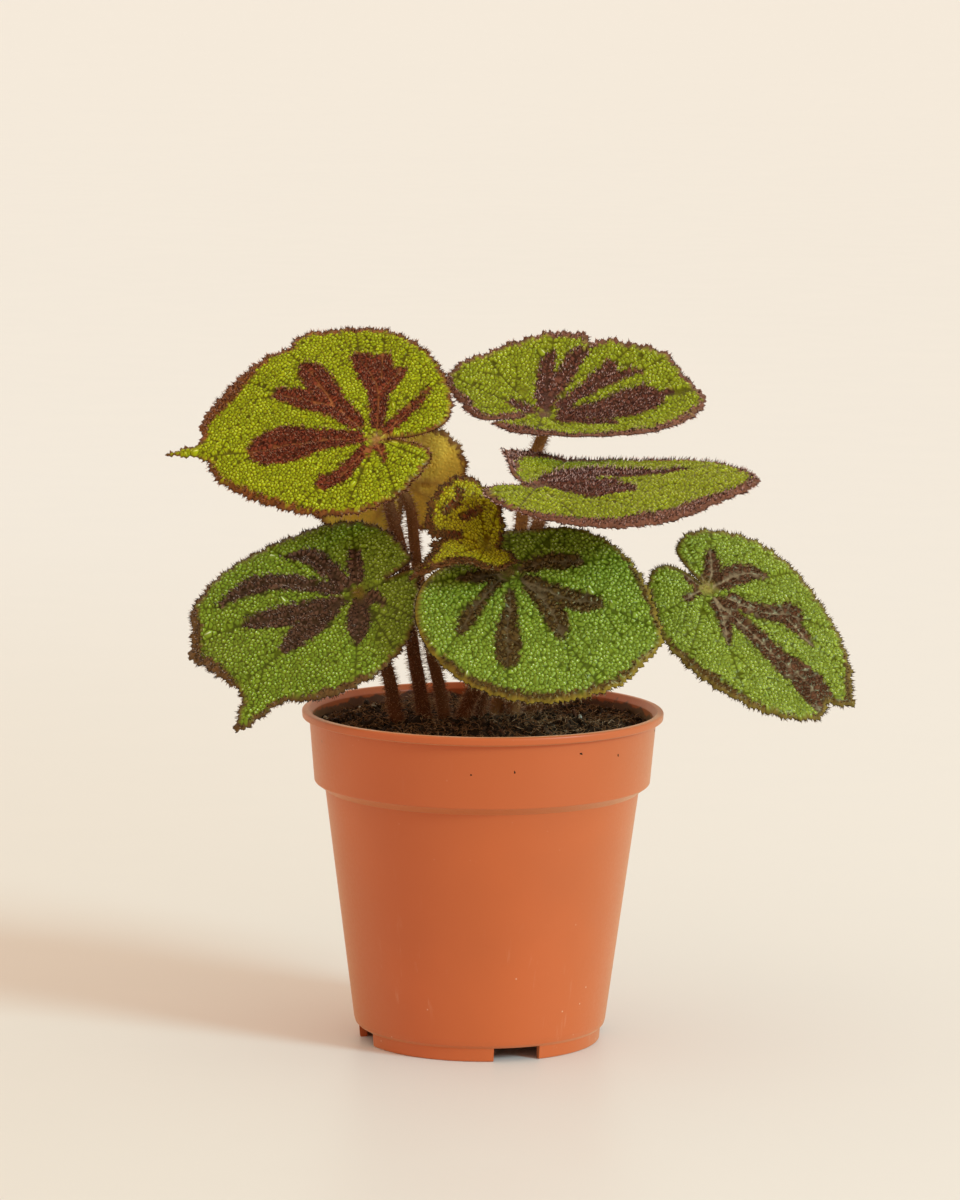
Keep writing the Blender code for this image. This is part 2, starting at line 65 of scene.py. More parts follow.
# Leaves. hub: where the stalk holds the blade. face: the way its upper side looks, degrees to the right of
# the viewer and degrees up. turn: the tip's direction in the blade's plane, anticlockwise from level right.
# tip, shoulders, sides, lobes, back: the margin's distances at 0, 45, 90, 135 and 180 degrees from the tip,
# where each pair is first the anticlockwise side, then the clockwise one.
# bend: rise at 40 mm up the slope, across it, and the twist between them.
# points: (bearing, length, half width) of tips and dents. sinus: (bearing, share cut away, half width).
# curls: (bearing, half width, rise at the margin). crease: (slope, round, bearing).
# arch: (rise, middle, half length).
# route: the stalk's own points, from the rhizome upwards.
# arms: the dark cross, each arm as points of (bearing, distance, half width).
# pitch: the bumps' spacing.
# rim: the brown margin's width, then (bearing, extra width, half) where it is wider.
# ribs: the spacing of the fine pale ribs that cross the arms.
LEAVES = {
    "upper_left": dict(
        look="young", pitch=1.2, rim=(1.0, (-24, 3.6, 16), (-75, 0.8, 20), (35, 1.3, 28), (1, -1.6, 5)),
        hub=(-36, 2, 200), face=(-6, 43), turn=-175, bend=(-2, -1, 0), sinus=(176, 0.85, 9),
        tip=56, shoulders=(38.5, 54), sides=(27, 48.5), lobes=(20.5, 33), back=22,
        points=((0, 13, 1.9), (-11, 3, 8), (12, 2, 9), (-54, -2.5, 4), (-62, 1.5, 6)),
        route=((-18, -1, 101), (-20, -2, 112), (-24, -2, 135), (-27, 1, 160), (-32, 7, 178)),
        arms=(
            ((-3, 6, 2.6), (-2, 14, 3.8), (0, 22, 5.2), (1, 30, 7.5), (3, 36, 6.5)),
            ((-45, 10, 3), (-45, 20, 4.5), (-37, 30, 4.2), (-33, 38, 3)),
            ((-45, 20, 4), (-51, 28, 5), (-53, 36, 4.5), (-53, 40, 2.6)),
            ((-92, 6, 2.4), (-92, 15, 3.2), (-90, 22, 4.2), (-84, 30, 4.5), (-81, 35, 3.4)),
            ((-94, 20, 3.4), (-101, 26, 3.6), (-105, 29, 2.4)),
            ((-93, 26, 4), (-93, 33, 3.6)),
            ((-137, 5, 2.2), (-135, 12, 2.2), (-134, 20, 1.6), (-131, 27, 0.8)),
            ((50, 6, 2.2), (52, 13, 2.5), (51, 19, 2.6), (45, 24, 3.2)),
            ((100, 4, 2), (106, 9.5, 1)),
        ),
    ),
    "upper_right": dict(
        look="middle", pitch=1.25, rim=(1.2, (-40, 1.6, 35), (160, 1.4, 25), (60, 0.8, 15), (-118, 4.5, 32)),
        hub=(19, 20, 207), face=(0, 67), turn=13, bend=(15, -1, 0), sinus=(183, 0.6, 3),
        tip=52, shoulders=(40.5, 33.5), sides=(34.5, 27), lobes=(38, 19), back=20,
        points=((0, 4, 9), (24, 4, 10), (50, -3, 3.5), (112, -2, 12), (152, -4.5, 9), (-22, -2, 12)),
        route=((4, 6, 101), (5, 9, 112), (10, 12, 150), (14, 16, 185)),
        arms=(
            ((70, 6, 3.2), (70, 12, 4), (73, 20, 3.2), (73, 25, 2.4), (71, 28, 1.4)),
            ((58, 14, 2.6), (56, 20, 2.8), (56, 26, 3), (53, 31, 2.4), (50, 33, 1.2)),
            ((28, 8, 2.6), (30, 14, 2.6), (30, 20, 3), (31, 28, 3.5), (34, 34, 2)),
            ((28, 26, 2.5), (25, 32, 1.9), (22, 40, 1)),
            ((-8, 8, 3.5), (-9, 16, 5), (-5, 24, 6.5), (1, 30, 7), (4, 36, 6)),
            ((5, 38, 3), (5, 42, 1.4), (6, 46, 1)),
            ((140, 5, 2.5), (138, 9, 2.2), (134, 13, 1.2)),
            ((-40, 8, 3.5), (-33, 16, 3), (-28, 24, 2)),
        ),
    ),
    "middle_right": dict(
        look="middle", pitch=1.25, rim=(1.5, (-30, 4.5, 22), (-70, 2, 25), (70, 4.5, 42)),
        hub=(17, -31, 188.5), face=(10, 79), turn=-4, bend=(-5, 1, 0), sinus=(163, 0.85, 14),
        tip=68.5, shoulders=(53, 43.5), sides=(39, 27.5), lobes=(13, 22), back=17.5,
        points=((0, 4, 9), (22, 3, 12), (-18, -3.5, 12), (118, -3, 10)),
        curls=((120, 28, 6), (88, 16, 3)),
        route=((9.5, 7, 100.5), (10.5, 5, 112), (11.5, 0, 140), (15, -8, 165), (18, -15, 176)),
        arms=(
            ((-5, 6, 3.5), (-9, 12, 5), (-13, 18, 6.5), (-9, 24, 5), (-7, 28, 4)),
            ((45, 8, 5), (44, 16, 7.5), (36, 26, 7), (23, 34, 5), (18, 43, 3), (17, 52, 1.5)),
            ((5, 14, 4), (8, 24, 3.5)),
        ),
    ),
    "lower_left": dict(
        look="old", pitch=1.35, rim=(0.8, (-38, 2.6, 14), (-20, 1.6, 8), (30, 1.6, 22)),
        hub=(-41, -22, 152), face=(-16, 42), turn=-122, bend=(-2, -1, 0), sinus=(160, 0.5, 3),
        tip=48, shoulders=(35, 56), sides=(25, 37), lobes=(20, 29.5), back=22,
        points=((2, 14.5, 5), (-34, 3.5, 5), (-50, 1.5, 8), (10, -1, 6)),
        curls=((-35, 9, -5),),
        route=((-27, -5, 100), (-28.5, -6, 108), (-32, -7, 125)),
        arms=(
            ((45, 5, 3), (45, 9, 3.8), (45, 13.5, 4), (43, 18, 2), (42, 20.5, 0.8)),
            ((-24, 8, 3), (-26, 13, 3.6), (-32, 22, 4.2), (-36, 32, 3.4), (-38, 38, 1.8)),
            ((-12, 12, 3.4), (-11, 18, 4.6), (-11, 24, 4.4), (-9, 30, 2.2)),
            ((-62, 8, 2.6), (-64, 18, 2.8), (-63, 27, 3.1), (-60, 35, 3.8), (-56, 40, 3), (-52, 44, 1.8),
             (-49, 47, 1)),
            ((-88, 6, 2.6), (-91, 10, 2.8), (-93, 18, 3.4), (-92, 24, 3.2), (-86, 28, 2.2), (-83, 31, 1)),
            ((-130, 6, 2.8), (-130, 10, 2.8), (-131, 15, 2.4), (-131, 17, 1.4)),
            ((100, 5, 3), (100, 9, 1.5)),
        ),
    ),
    "lower_front": dict(
        look="worn", pitch=1.4, rim=(0.8, (20, 1.6, 18), (-20, 1.4, 16), (-55, 2, 25), (-90, 1.6, 25)),
        ribs=3.6,
        hub=(8, -34, 161), face=(6, 40), turn=-26, bend=(-4, -3, 0), sinus=(167, 0.92, 34),
        tip=50, shoulders=(37, 48), sides=(19, 42), lobes=(21, 36), back=30,
        points=((0, 4, 10), (-22, 2, 12)),
        route=((-7, 0, 101), (-6, -4, 110), (2, -15, 132)),
        arms=(
            ((42, 6, 2.4), (43, 13, 3), (38, 20, 3), (36, 23, 2)),
            ((-8, 8, 3), (-5, 14, 3.2), (-4, 18, 3.5), (0, 25, 4), (4, 30, 2.6)),
            ((-18, 10, 3), (-20, 15, 3.6), (-23, 20, 4), (-27, 24.5, 3.6), (-30, 28, 2)),
            ((-66, 8, 1.8), (-66, 15, 2.6), (-69, 21, 3.6), (-68, 27, 4.4), (-68, 31, 4)),
            ((-108, 6, 2), (-106, 12, 2), (-105, 17, 2.4), (-104, 22, 3), (-102, 27, 1.8)),
            ((-140, 6, 3.5), (-142, 10, 3), (-146, 16, 1.5)),
        ),
    ),
    "lower_right": dict(
        look="ripe", pitch=1.3, rim=(0.9, (-55, 2.4, 25), (5, 1.5, 12)), ribs=3.6,
        hub=(74, 0, 152), face=(22, 36), turn=-47, bend=(-2, -2, 0), sinus=(178, 0.9, 9),
        tip=59, shoulders=(38, 38.5), sides=(27, 27), lobes=(21.5, 21), back=20,
        points=((2, 3.5, 3), (-5, -4, 3), (25, -1.6, 14), (-38, 1.2, 15), (158, -2, 10), (-165, -2, 10)),
        route=((12, 9, 98.5), (17, 9, 110), (30, 5, 127), (54, 4, 144)),
        arms=(
            ((-18, 9, 3.6), (-10, 18, 3.2), (-8, 30, 3.8), (-6, 40, 4.8), (-5.5, 49, 5.8), (-7, 56, 3.6),
             (-8, 60, 1.5)),
            ((12, 9, 2.8), (15, 17, 2.8), (20, 24, 3.4), (25, 30, 4.4)),
            ((20, 30, 3), (17, 34, 2.4), (13, 39, 1)),
            ((62, 5, 3), (66, 12, 4), (62, 18, 2.8), (55, 22.5, 1)),
            ((108, 4, 3), (111, 7, 3.2), (117, 11, 2.8), (119, 14, 1.4)),
            ((-160, 4, 2.4), (-168, 7, 2.4)),
            ((-112, 5, 1.8), (-108, 10, 1.4)),
            ((-28, 7, 3), (-30, 12, 2.8), (-35, 17.5, 2), (-37, 21, 1)),
        ),
    ),
    "young_folded": dict(
        look="folded", pitch=0.95, rim=(1.2, (0, 0.8, 50), (60, 1.4, 50)),
        hub=(0.5, -34.5, 168.5), face=(0, 48), turn=187, bend=(0, 0, 0), sinus=(180, 0.1, 9),
        tip=18, shoulders=(15, 22), sides=(13, 22), lobes=(12, 9), back=4.5,
        points=((31, 15, 11), (-6, -4, 4)),
        crease=(0.35, 2, 0),
        arch=(5, 14, 15),
        route=((-1, 4, 101), (-0.5, 2, 112), (1, -6, 135), (1.5, -20, 155)),
        arms=(
            ((-69, 18, 1.3), (-58, 15.5, 1.5), (-46, 15.5, 1.5), (-38, 15.5, 1)),
            ((-86, 13, 1.2), (-73, 11, 1.6), (-52, 10.5, 1.4)),
            ((-12, 9, 1.5), (-10, 13, 1.5)),
        ),
    ),
    "behind_left": dict(
        look="pale", pitch=1.5, rim=(1.6,),
        hub=(-28, 22, 184), face=(172, 12), turn=60, bend=(-2, -1, 0), sinus=(205, 0.85, 6),
        tip=24, shoulders=(22, 31), sides=(23.5, 31), lobes=(20.5, 20), back=18.5,
        points=((0, 2, 9),),
        route=((-12, 1, 101), (-13.5, 3.5, 112), (-18, 7, 132), (-22.5, 9.5, 158), (-25, 14, 176)),
        arms=(
            ((0, 5, 1.6), (2, 12, 2.2), (0, 18, 2.6)),
            ((62, 5, 1.4), (60, 12, 2.0), (58, 18, 2.2)),
            ((-60, 5, 1.4), (-62, 13, 2.2), (-60, 21, 2.4)),
            ((120, 5, 1.2), (122, 12, 1.6)),
            ((-118, 5, 1.2), (-116, 13, 1.6)),
        ),
    ),
}
SLOTS = {"young": "blade_young", "folded": "blade_young", "pale": "blade_pale"}
STALK_SCALE = {"young_folded": 0.8, "behind_left": 0.9}
STALK_SEAT = 1.3
STALK_STRAIGHT = 8.0
STALK_SIDES, RHIZOME_SIDES, ROOT_SIDES, DRAIN_SIDES = 16, 28, 8, 32
STEP = 45
TOOTH_WAVE, TOOTH_WAVE_DEPTH = 6.2, 0.35
EXTRA_VEINS = (0, 34, -34, 70, -70, 112, -112, 150, -150)
FREE_ANGLE = 20

# Rhizome and roots
RHIZOME_ROUTE = ((-31, -7, 98.5), (-20, -2, 99.5), (-8, 2, 99.5), (4, 6, 99), (15, 10, 98.5))
RHIZOME_RADIUS, RHIZOME_KNOB = 5.8, 0.5
ROOT_FEET = ((-36, -14, 62), (-24, 12, 48), (-10, -20, 40), (2, 18, 30), (14, -12, 52), (24, 22, 60))
ROOT_RADIUS = 1.1

# Pot: radii and heights
LIP_RADIUS, POT_HEIGHT = 60.0, 110.5
COLLAR_TOP = (57.5, 105.6)
LIP_FOOT = 107.4
COLLAR_FOOT = (55.7, 86.6)
BODY_TOP = (52.1, 84.0)
BODY_FOOT = (42.0, 7.1)
FOOT_RADIUS, FOOT_HEIGHT, FOOT_WIDTH = 40.0, 4.4, 2.4
WALL = 1.2
NOTCH_BEARINGS = (18, 108, 198, 288)
NOTCH_WIDTH, NOTCH_FROM, NOTCH_TO, NOTCH_HEIGHT = 15.7, 34.0, 44.0, 4.65
DRAIN_RADIUS, DRAIN_FROM_AXIS = 4.0, 29.0
SOIL_EDGE_Z, SOIL_MOUND, SOIL_CLEARANCE = 105.8, 1.6, 0.45
SOIL_SIDES, SOIL_PITCH = 240, 0.9
SOIL_WAVES = ((14, (7, 16), 1.1), (20, (2.5, 6), 0.9), (24, (1.2, 2.4), 0.5))

# Camera: where it stands from the pot's axis, and how it is turned
CAMERA_PLACE = (-1.34, -1600.0, 364.0)
CAMERA_PITCH, CAMERA_ROLL = 7.73, 0.61
CAMERA_LENS = 146.55
FAR_CLIP = 200.0
FLOOR_SIDES = 96
FLOOR_RADII = (400.0, 1500.0, 6000.0, 25000.0, 90000.0)
KEY_ANGLE, KEY_COLOUR, KEY_DIRECTION = 16, (0.54, 0.89, 0.98), (-0.76, 0.50, -0.43)
FILL_COLOUR = (1.0, 0.80, 0.63)
# The floor's paler colours to the right and far behind are painted light.
FLOOR_RIGHT, FLOOR_BEHIND = (0.788, 0.788, 0.778), (0.782, 0.784, 0.785)


# Small helpers

def unit(vector):
    return vector / np.linalg.norm(vector)


def to_frame(points):
    """Points in millimetres from the pot's axis, as metres in the row frame."""
    return (np.asarray(points, float) + AXIS) * MM


def mesh_object(name, points, faces, materials=()):
    """An object from points in millimetres from the pot's axis."""
    mesh = bpy.data.meshes.new(name)
    mesh.from_pydata(to_frame(points).tolist(), [], [tuple(face) for face in faces])
    for made in materials:
        mesh.materials.append(made)
    obj = bpy.data.objects.new(name, mesh)
    bpy.context.scene.collection.objects.link(obj)
    obj.data.shade_smooth()
    return obj


def add_values(obj, name, values):
    """Stores one number, or one vector, for each vertex."""
    values = np.asarray(values, np.float32)
    if values.ndim == 2:
        layer = obj.data.attributes.new(name, "FLOAT_VECTOR", "POINT")
        layer.data.foreach_set("vector", values.ravel())
    else:
        layer = obj.data.attributes.new(name, "FLOAT", "POINT")
        layer.data.foreach_set("value", values)


def smooth_route(route, steps):
    """Points along a curve through the route's points."""
    knots = [np.array(point, float) for point in route]
    knots = [2 * knots[0] - knots[1]] + knots + [2 * knots[-1] - knots[-2]]
    points = []
    for a, b, c, d in zip(knots, knots[1:], knots[2:], knots[3:]):
        for k in range(steps):
            t = k / steps
            linear = (c - a) * t
            square = (2 * a - 5 * b + 4 * c - d) * t * t
            cube = (3 * b - a - 3 * c + d) * t ** 3
            points.append(0.5 * (2 * b + linear + square + cube))
    points.append(knots[-2])
    return np.array(points)


def lengths_along(line):
    """How far along a line each of its points lies."""
    return np.concatenate(((0,), np.cumsum(np.linalg.norm(np.diff(line, axis=0), axis=1))))


def even_route(route, spacing):
    """The same curve with its points a given distance apart. Further columns, such as a width, come along."""
    fine = smooth_route(route, 12)
    places = fine[:, :2] if fine.shape[1] == 3 else fine
    gone = lengths_along(places)
    marks = np.linspace(0, gone[-1], max(2, int(gone[-1] / spacing) + 1))
    return np.stack([np.interp(marks, gone, fine[:, k]) for k in range(fine.shape[1])], axis=1)


def band(low, high, sides):
    """The faces between two rings of points, given by the number of each ring's first point."""
    faces = []
    for k in range(sides):
        m = (k + 1) % sides
        faces.append((low + k, low + m, high + m, high + k))
    return faces


def circle(radius, z, sides):
    """Points on a level circle about the pot's axis."""
    turns = np.arange(sides) * math.tau / sides
    return [(radius * math.cos(a), radius * math.sin(a), z) for a in turns]


def counted_on(faces, start):
    """The same faces for points that follow others in a mesh."""
    return [tuple(k + start for k in face) for face in faces]


def rod(middles, radii, sides, last_normal=None):
    """Points and faces of a round rod with closed ends."""
    middles = np.asarray(middles, float)
    tangents = np.gradient(middles, axis=0)
    side = np.array((1.0, 0.0, 0.0))
    turns = np.arange(sides) * math.tau / sides
    rings = []
    for i, (middle, tangent) in enumerate(zip(middles, tangents)):
        along = unit(tangent)
        if last_normal is not None and i == len(middles) - 1:
            along = last_normal
        side = unit(side - along * side.dot(along))
        other = np.cross(along, side)
        ring = np.cos(turns)[:, None] * side + np.sin(turns)[:, None] * other
        rings.append(middle + ring * np.asarray(radii[i]).reshape(-1, 1))
    faces = [tuple(reversed(range(sides)))]
    for k in range(len(middles) - 1):
        faces += band(k * sides, (k + 1) * sides, sides)
    last = (len(middles) - 1) * sides
    faces.append(tuple(range(last, last + sides)))
    return np.concatenate(rings), faces


def evaluated(obj):
    """Turns the result of an object's modifiers into its plain mesh."""
    graph = bpy.context.evaluated_depsgraph_get()
    graph.update()
    made = bpy.data.meshes.new_from_object(obj.evaluated_get(graph))
    obj.modifiers.clear()
    old = obj.data
    obj.data = made
    made.name = obj.name
    bpy.data.meshes.remove(old)
    return obj


def finish_piece(obj, slot, *nodes):
    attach(obj, "root")
    if nodes:
        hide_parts(*nodes)


# Node helpers: sockets of a colour Mix node
MIX_SHARE, MIX_FIRST, MIX_SECOND, MIX_RESULT = 0, 6, 7, 2

class Nodes:
    """Adds nodes to a tree and links them by socket names."""

    def __init__(self, tree):
        self.tree = tree

    def add(self, kind, values=None, **settings):
        node = self.tree.nodes.new(kind)
        for key, value in settings.items():
            setattr(node, key, value)
        for key, value in (values or {}).items():
            self.put(node.inputs[key], value)
        return node

    def put(self, socket, value):
        if isinstance(value, bpy.types.NodeSocket):
            self.tree.links.new(value, socket)
        else:
            socket.default_value = value

    def math(self, operation, a, b=0.0):
        return self.add("ShaderNodeMath", {0: a, 1: b}, operation=operation).outputs[0]

    def times(self, a, b):
        return self.math("MULTIPLY", a, b)

    def plus(self, a, b):
        return self.math("ADD", a, b)

    def span(self, value, low, high, to_low=0.0, to_high=1.0, kind="SMOOTHSTEP"):
        """A value carried from one range to another."""
        return self.add("ShaderNodeMapRange", {
            "Value": value, "From Min": low, "From Max": high, "To Min": to_low, "To Max": to_high,
        }, interpolation_type=kind).outputs["Result"]

    def mix(self, share, a, b):
        """Two colours mixed."""
        node = self.add("ShaderNodeMix", {MIX_SHARE: share}, data_type="RGBA")
        for socket, colour in ((MIX_FIRST, a), (MIX_SECOND, b)):
            made = isinstance(colour, bpy.types.NodeSocket)
            self.put(node.inputs[socket], colour if made else (*colour, 1.0))
        return node.outputs[MIX_RESULT]

    def vector(self, operation, a, b):
        return self.add("ShaderNodeVectorMath", {0: a, 1: b}, operation=operation).outputs[0]

    def scaled(self, vector, factor):
        return self.add("ShaderNodeVectorMath", {0: vector, "Scale": factor}, operation="SCALE").outputs[0]

    def part(self, vector, axis):
        return self.add("ShaderNodeSeparateXYZ", {"Vector": vector}).outputs[axis]

    def random(self, low, high, seed):
        """A random number, or a random vector where the limits are vectors."""
        if isinstance(low, tuple):
            values, kind, result = {0: low, 1: high, "Seed": seed}, "FLOAT_VECTOR", 0
        else:
            values, kind, result = {2: low, 3: high, "Seed": seed}, "FLOAT", 1
        return self.add("FunctionNodeRandomValue", values, data_type=kind).outputs[result]

    def stored(self, name, kind="FLOAT"):
        """A value stored on the mesh, in a Geometry Nodes tree."""
        node = self.add("GeometryNodeInputNamedAttribute", {"Name": name}, data_type=kind)
        return node.outputs["Attribute"]

    def value(self, name):
        """A number stored on the mesh."""
        return self.add("ShaderNodeAttribute", attribute_name=name).outputs["Fac"]

    def place(self):
        return self.add("ShaderNodeTexCoord").outputs["Object"]

    def noise(self, scale, detail=2.0, roughness=0.5, place=None):
        node = self.add("ShaderNodeTexNoise", {
            "Vector": place or self.place(), "Scale": scale, "Detail": detail, "Roughness": roughness,
        })
        return node.outputs["Fac"]


def new_material(name):
    """A material with its Nodes helper and its shader."""
    made = bpy.data.materials.new(name)
    made.use_nodes = True
    return made, Nodes(made.node_tree), made.node_tree.nodes["Principled BSDF"]


def new_group(name, kind, inputs, outputs):
    """A node group with its sockets. Returns it with its Nodes helper, input sockets and output node."""
    group = bpy.data.node_groups.new(name, kind)
    for label, socket, default in inputs:
        made = group.interface.new_socket(label, in_out="INPUT", socket_type=socket)
        if default is not None:
            made.default_value = default
    for label, socket in outputs:
        group.interface.new_socket(label, in_out="OUTPUT", socket_type=socket)
    start = group.nodes.new("NodeGroupInput")
    end = group.nodes.new("NodeGroupOutput")
    return group, Nodes(group), start.outputs, end


def new_tree(name, **inputs):
    """A Geometry Nodes tree that dresses a mesh. Its inputs are sizes, or whole numbers for a seed."""
    sockets = [("Geometry", "NodeSocketGeometry", None)]
    for label, value in inputs.items():
        sockets.append((label, "NodeSocketInt" if isinstance(value, int) else "NodeSocketFloat", value))
    sockets.append(("Finish", "NodeSocketMaterial", None))
    return new_group(name, "GeometryNodeTree", sockets, (("Geometry", "NodeSocketGeometry"),))


def set_input(modifier, label, value):
    """Sets a Geometry Nodes input by its socket's identifier."""
    for item in modifier.node_group.interface.items_tree:
        if item.item_type == "SOCKET" and item.in_out == "INPUT" and item.name == label:
            modifier[item.identifier] = value
            return
    raise KeyError(label)


# Geometry Nodes trees: the least upward share of a normal, how far hairs stray from it, and the widths of
# the hairs on green and on dark places
UPWARD_FROM = 0.45
HAIR_STRAY = 0.45
HAIR_THICKNESS = (0.6, 1.25)

def hair_shape(nodes, base, size, rotation):
    """One closed three-sided hair, a unit long, for each point. Its height along itself is stored as tip."""
    cone = nodes.add("GeometryNodeMeshCone", {
        "Vertices": 3, "Radius Top": 0.0, "Radius Bottom": 0.5, "Depth": 1.0,
    }, fill_type="NGON")
    spot = nodes.add("GeometryNodeInputPosition")
    marked = nodes.add("GeometryNodeStoreNamedAttribute", {
        "Geometry": cone.outputs["Mesh"], "Name": "tip", "Value": nodes.part(spot.outputs[0], "Z"),
    }, data_type="FLOAT", domain="POINT")
    return nodes.add("GeometryNodeInstanceOnPoints", {
        "Points": base, "Instance": marked.outputs["Geometry"], "Scale": size, "Rotation": rotation,
    }).outputs["Instances"]


def combine(nodes, x, y, z):
    return nodes.add("ShaderNodeCombineXYZ", {"X": x, "Y": y, "Z": z}).outputs["Vector"]


def close_tree(nodes, end, piece, made):
    """Realize Instances and Set Material, which end every tree."""
    real = nodes.add("GeometryNodeRealizeInstances", {"Geometry": piece})
    dressed = nodes.add("GeometryNodeSetMaterial", {"Geometry": real.outputs["Geometry"], "Material": made})
    nodes.put(end.inputs[0], dressed.outputs["Geometry"])


def aimed(nodes, direction):
    """The rotation that turns an upright shape to a direction."""
    turn = nodes.add("FunctionNodeAlignRotationToVector", {"Vector": direction}, axis="Z")
    return turn.outputs["Rotation"]


def scattered_dots(nodes, start, **more):
    """Points scattered over the tree's mesh."""
    values = {"Mesh": start["Geometry"], "Density": start["Density"], "Seed": start["Seed"], **more}
    return nodes.add("GeometryNodeDistributePointsOnFaces", values)


def upward(nodes):
    """True where a surface looks upwards."""
    normal = nodes.add("GeometryNodeInputNormal")
    return nodes.math("GREATER_THAN", nodes.part(normal.outputs[0], "Z"), UPWARD_FROM)


def jostled(nodes, instances, scale, middle, reach):
    """Real geometry whose points are pushed about by noise."""
    real = nodes.add("GeometryNodeRealizeInstances", {"Geometry": instances})
    rough = nodes.add("ShaderNodeTexNoise", {"Scale": scale, "Detail": 1.0})
    push = nodes.scaled(nodes.vector("SUBTRACT", rough.outputs["Color"], middle), reach)
    return nodes.add("GeometryNodeSetPosition", {"Geometry": real.outputs[0], "Offset": push}).outputs[0]


def placed_hair_tree():
    """A hair on each vertex, along its stored lean and as long as its stored reach."""
    group, nodes, start, end = new_tree("placed_hairs", Width=0.0001)
    dots = nodes.add("GeometryNodeMeshToPoints", {"Mesh": start["Geometry"]})
    thickness = nodes.span(nodes.stored("shade"), 0.0, 1.0, *HAIR_THICKNESS, "LINEAR")
    width = nodes.times(start["Width"], thickness)
    size = combine(nodes, width, width, nodes.stored("reach"))
    rotation = aimed(nodes, nodes.stored("lean", "FLOAT_VECTOR"))
    close_tree(nodes, end, hair_shape(nodes, dots.outputs["Points"], size, rotation), start["Finish"])
    return group


def scattered_hair_tree():
    """Hairs scattered over a surface, near its normals."""
    group, nodes, start, end = new_tree("scattered_hairs", Density=1e6, Width=0.0001, Length=0.0015, Seed=1)
    dots = scattered_dots(nodes, start)
    stray = nodes.random((-HAIR_STRAY,) * 3, (HAIR_STRAY,) * 3, start["Seed"])
    rotation = aimed(nodes, nodes.vector("ADD", dots.outputs["Normal"], stray))
    length = nodes.times(start["Length"], nodes.random(0.5, 1.15, 7))
    size = combine(nodes, start["Width"], start["Width"], length)
    close_tree(nodes, end, hair_shape(nodes, dots.outputs["Points"], size, rotation), start["Finish"])
    return group


def crumb_tree():
    """Angular crumbs half sunk in a surface where it looks upwards."""
    group, nodes, start, end = new_tree(
        "scattered_crumbs", Density=1e5, Smallest=0.0003, Largest=0.0012, Seed=1)
    dots = scattered_dots(nodes, start, Selection=upward(nodes))
    ball, chip = (
        nodes.add("GeometryNodeMeshIcoSphere", {"Radius": 1.0, "Subdivisions": level}) for level in (2, 1)
    )
    shapes = nodes.add("GeometryNodeJoinGeometry")
    for source, stretch in ((ball, (1.0, 0.8, 0.6)), (chip, (1.2, 0.7, 0.4)), (chip, (0.8, 0.9, 0.7))):
        moved = nodes.add("GeometryNodeTransform", {"Geometry": source.outputs["Mesh"], "Scale": stretch})
        one = nodes.add("GeometryNodeGeometryToInstance", {"Geometry": moved.outputs["Geometry"]})
        group.links.new(one.outputs[0], shapes.inputs[0])
    few_large = nodes.math("POWER", nodes.random(0.0, 1.0, 3), 3.0)
    size = nodes.span(few_large, 0.0, 1.0, start["Smallest"], start["Largest"], "LINEAR")
    lumps = nodes.add("GeometryNodeInstanceOnPoints", {
        "Points": dots.outputs["Points"], "Instance": shapes.outputs[0], "Pick Instance": True,
        "Rotation": nodes.random((0.0,) * 3, (math.tau,) * 3, 5), "Scale": combine(nodes, size, size, size),
    })
    bent = jostled(nodes, lumps.outputs["Instances"], 1400.0, (0.5, 0.5, 0.5), 0.0009)
    close_tree(nodes, end, bent, start["Finish"])
    return group


def fibre_tree():
    """Curly fibres lying on a surface where it looks upwards."""
    group, nodes, start, end = new_tree(
        "scattered_fibres", Density=4e4, Width=0.00014, Length=0.006, Curl=0.006, Seed=1)
    density = nodes.times(start["Density"], nodes.stored("open"))
    dots = scattered_dots(nodes, start, Selection=upward(nodes), Density=density)
    line = nodes.add("GeometryNodeCurvePrimitiveLine", {"Start": (-0.5, 0.0, 0.12), "End": (0.5, 0.0, 0.12)})
    many = nodes.add("GeometryNodeResampleCurve", {"Curve": line.outputs["Curve"], "Count": 9})
    length = nodes.times(start["Length"], nodes.random(0.35, 1.3, 13))
    strands = nodes.add("GeometryNodeInstanceOnPoints", {
        "Points": dots.outputs["Points"], "Instance": many.outputs["Curve"],
        "Rotation": nodes.random((-0.35, -0.35, 0.0), (0.35, 0.35, math.tau), 11),
        "Scale": combine(nodes, length, length, length),
    })
    bent = jostled(nodes, strands.outputs["Instances"], 330.0, (0.5, 0.5, 0.42), start["Curl"])
    ring = nodes.add("GeometryNodeCurvePrimitiveCircle", {"Resolution": 3, "Radius": start["Width"]})
    solid = nodes.add("GeometryNodeCurveToMesh", {
        "Curve": bent, "Profile Curve": ring.outputs["Curve"], "Fill Caps": True,
    })
    close_tree(nodes, end, solid.outputs[0], start["Finish"])
    return group


def grow(host, name, tree, finish, **inputs):
    """Runs a tree on a copy of the host's mesh, and returns the result as a plain object."""
    obj = bpy.data.objects.new(name, host.data.copy())
    bpy.context.scene.collection.objects.link(obj)
    obj.data.materials.clear()
    obj.data.materials.append(finish)
    modifier = obj.modifiers.new("grow", "NODES")
    modifier.node_group = tree
    set_input(modifier, "Finish", finish)
    for label, value in inputs.items():
        set_input(modifier, label, value)
    return evaluated(obj)


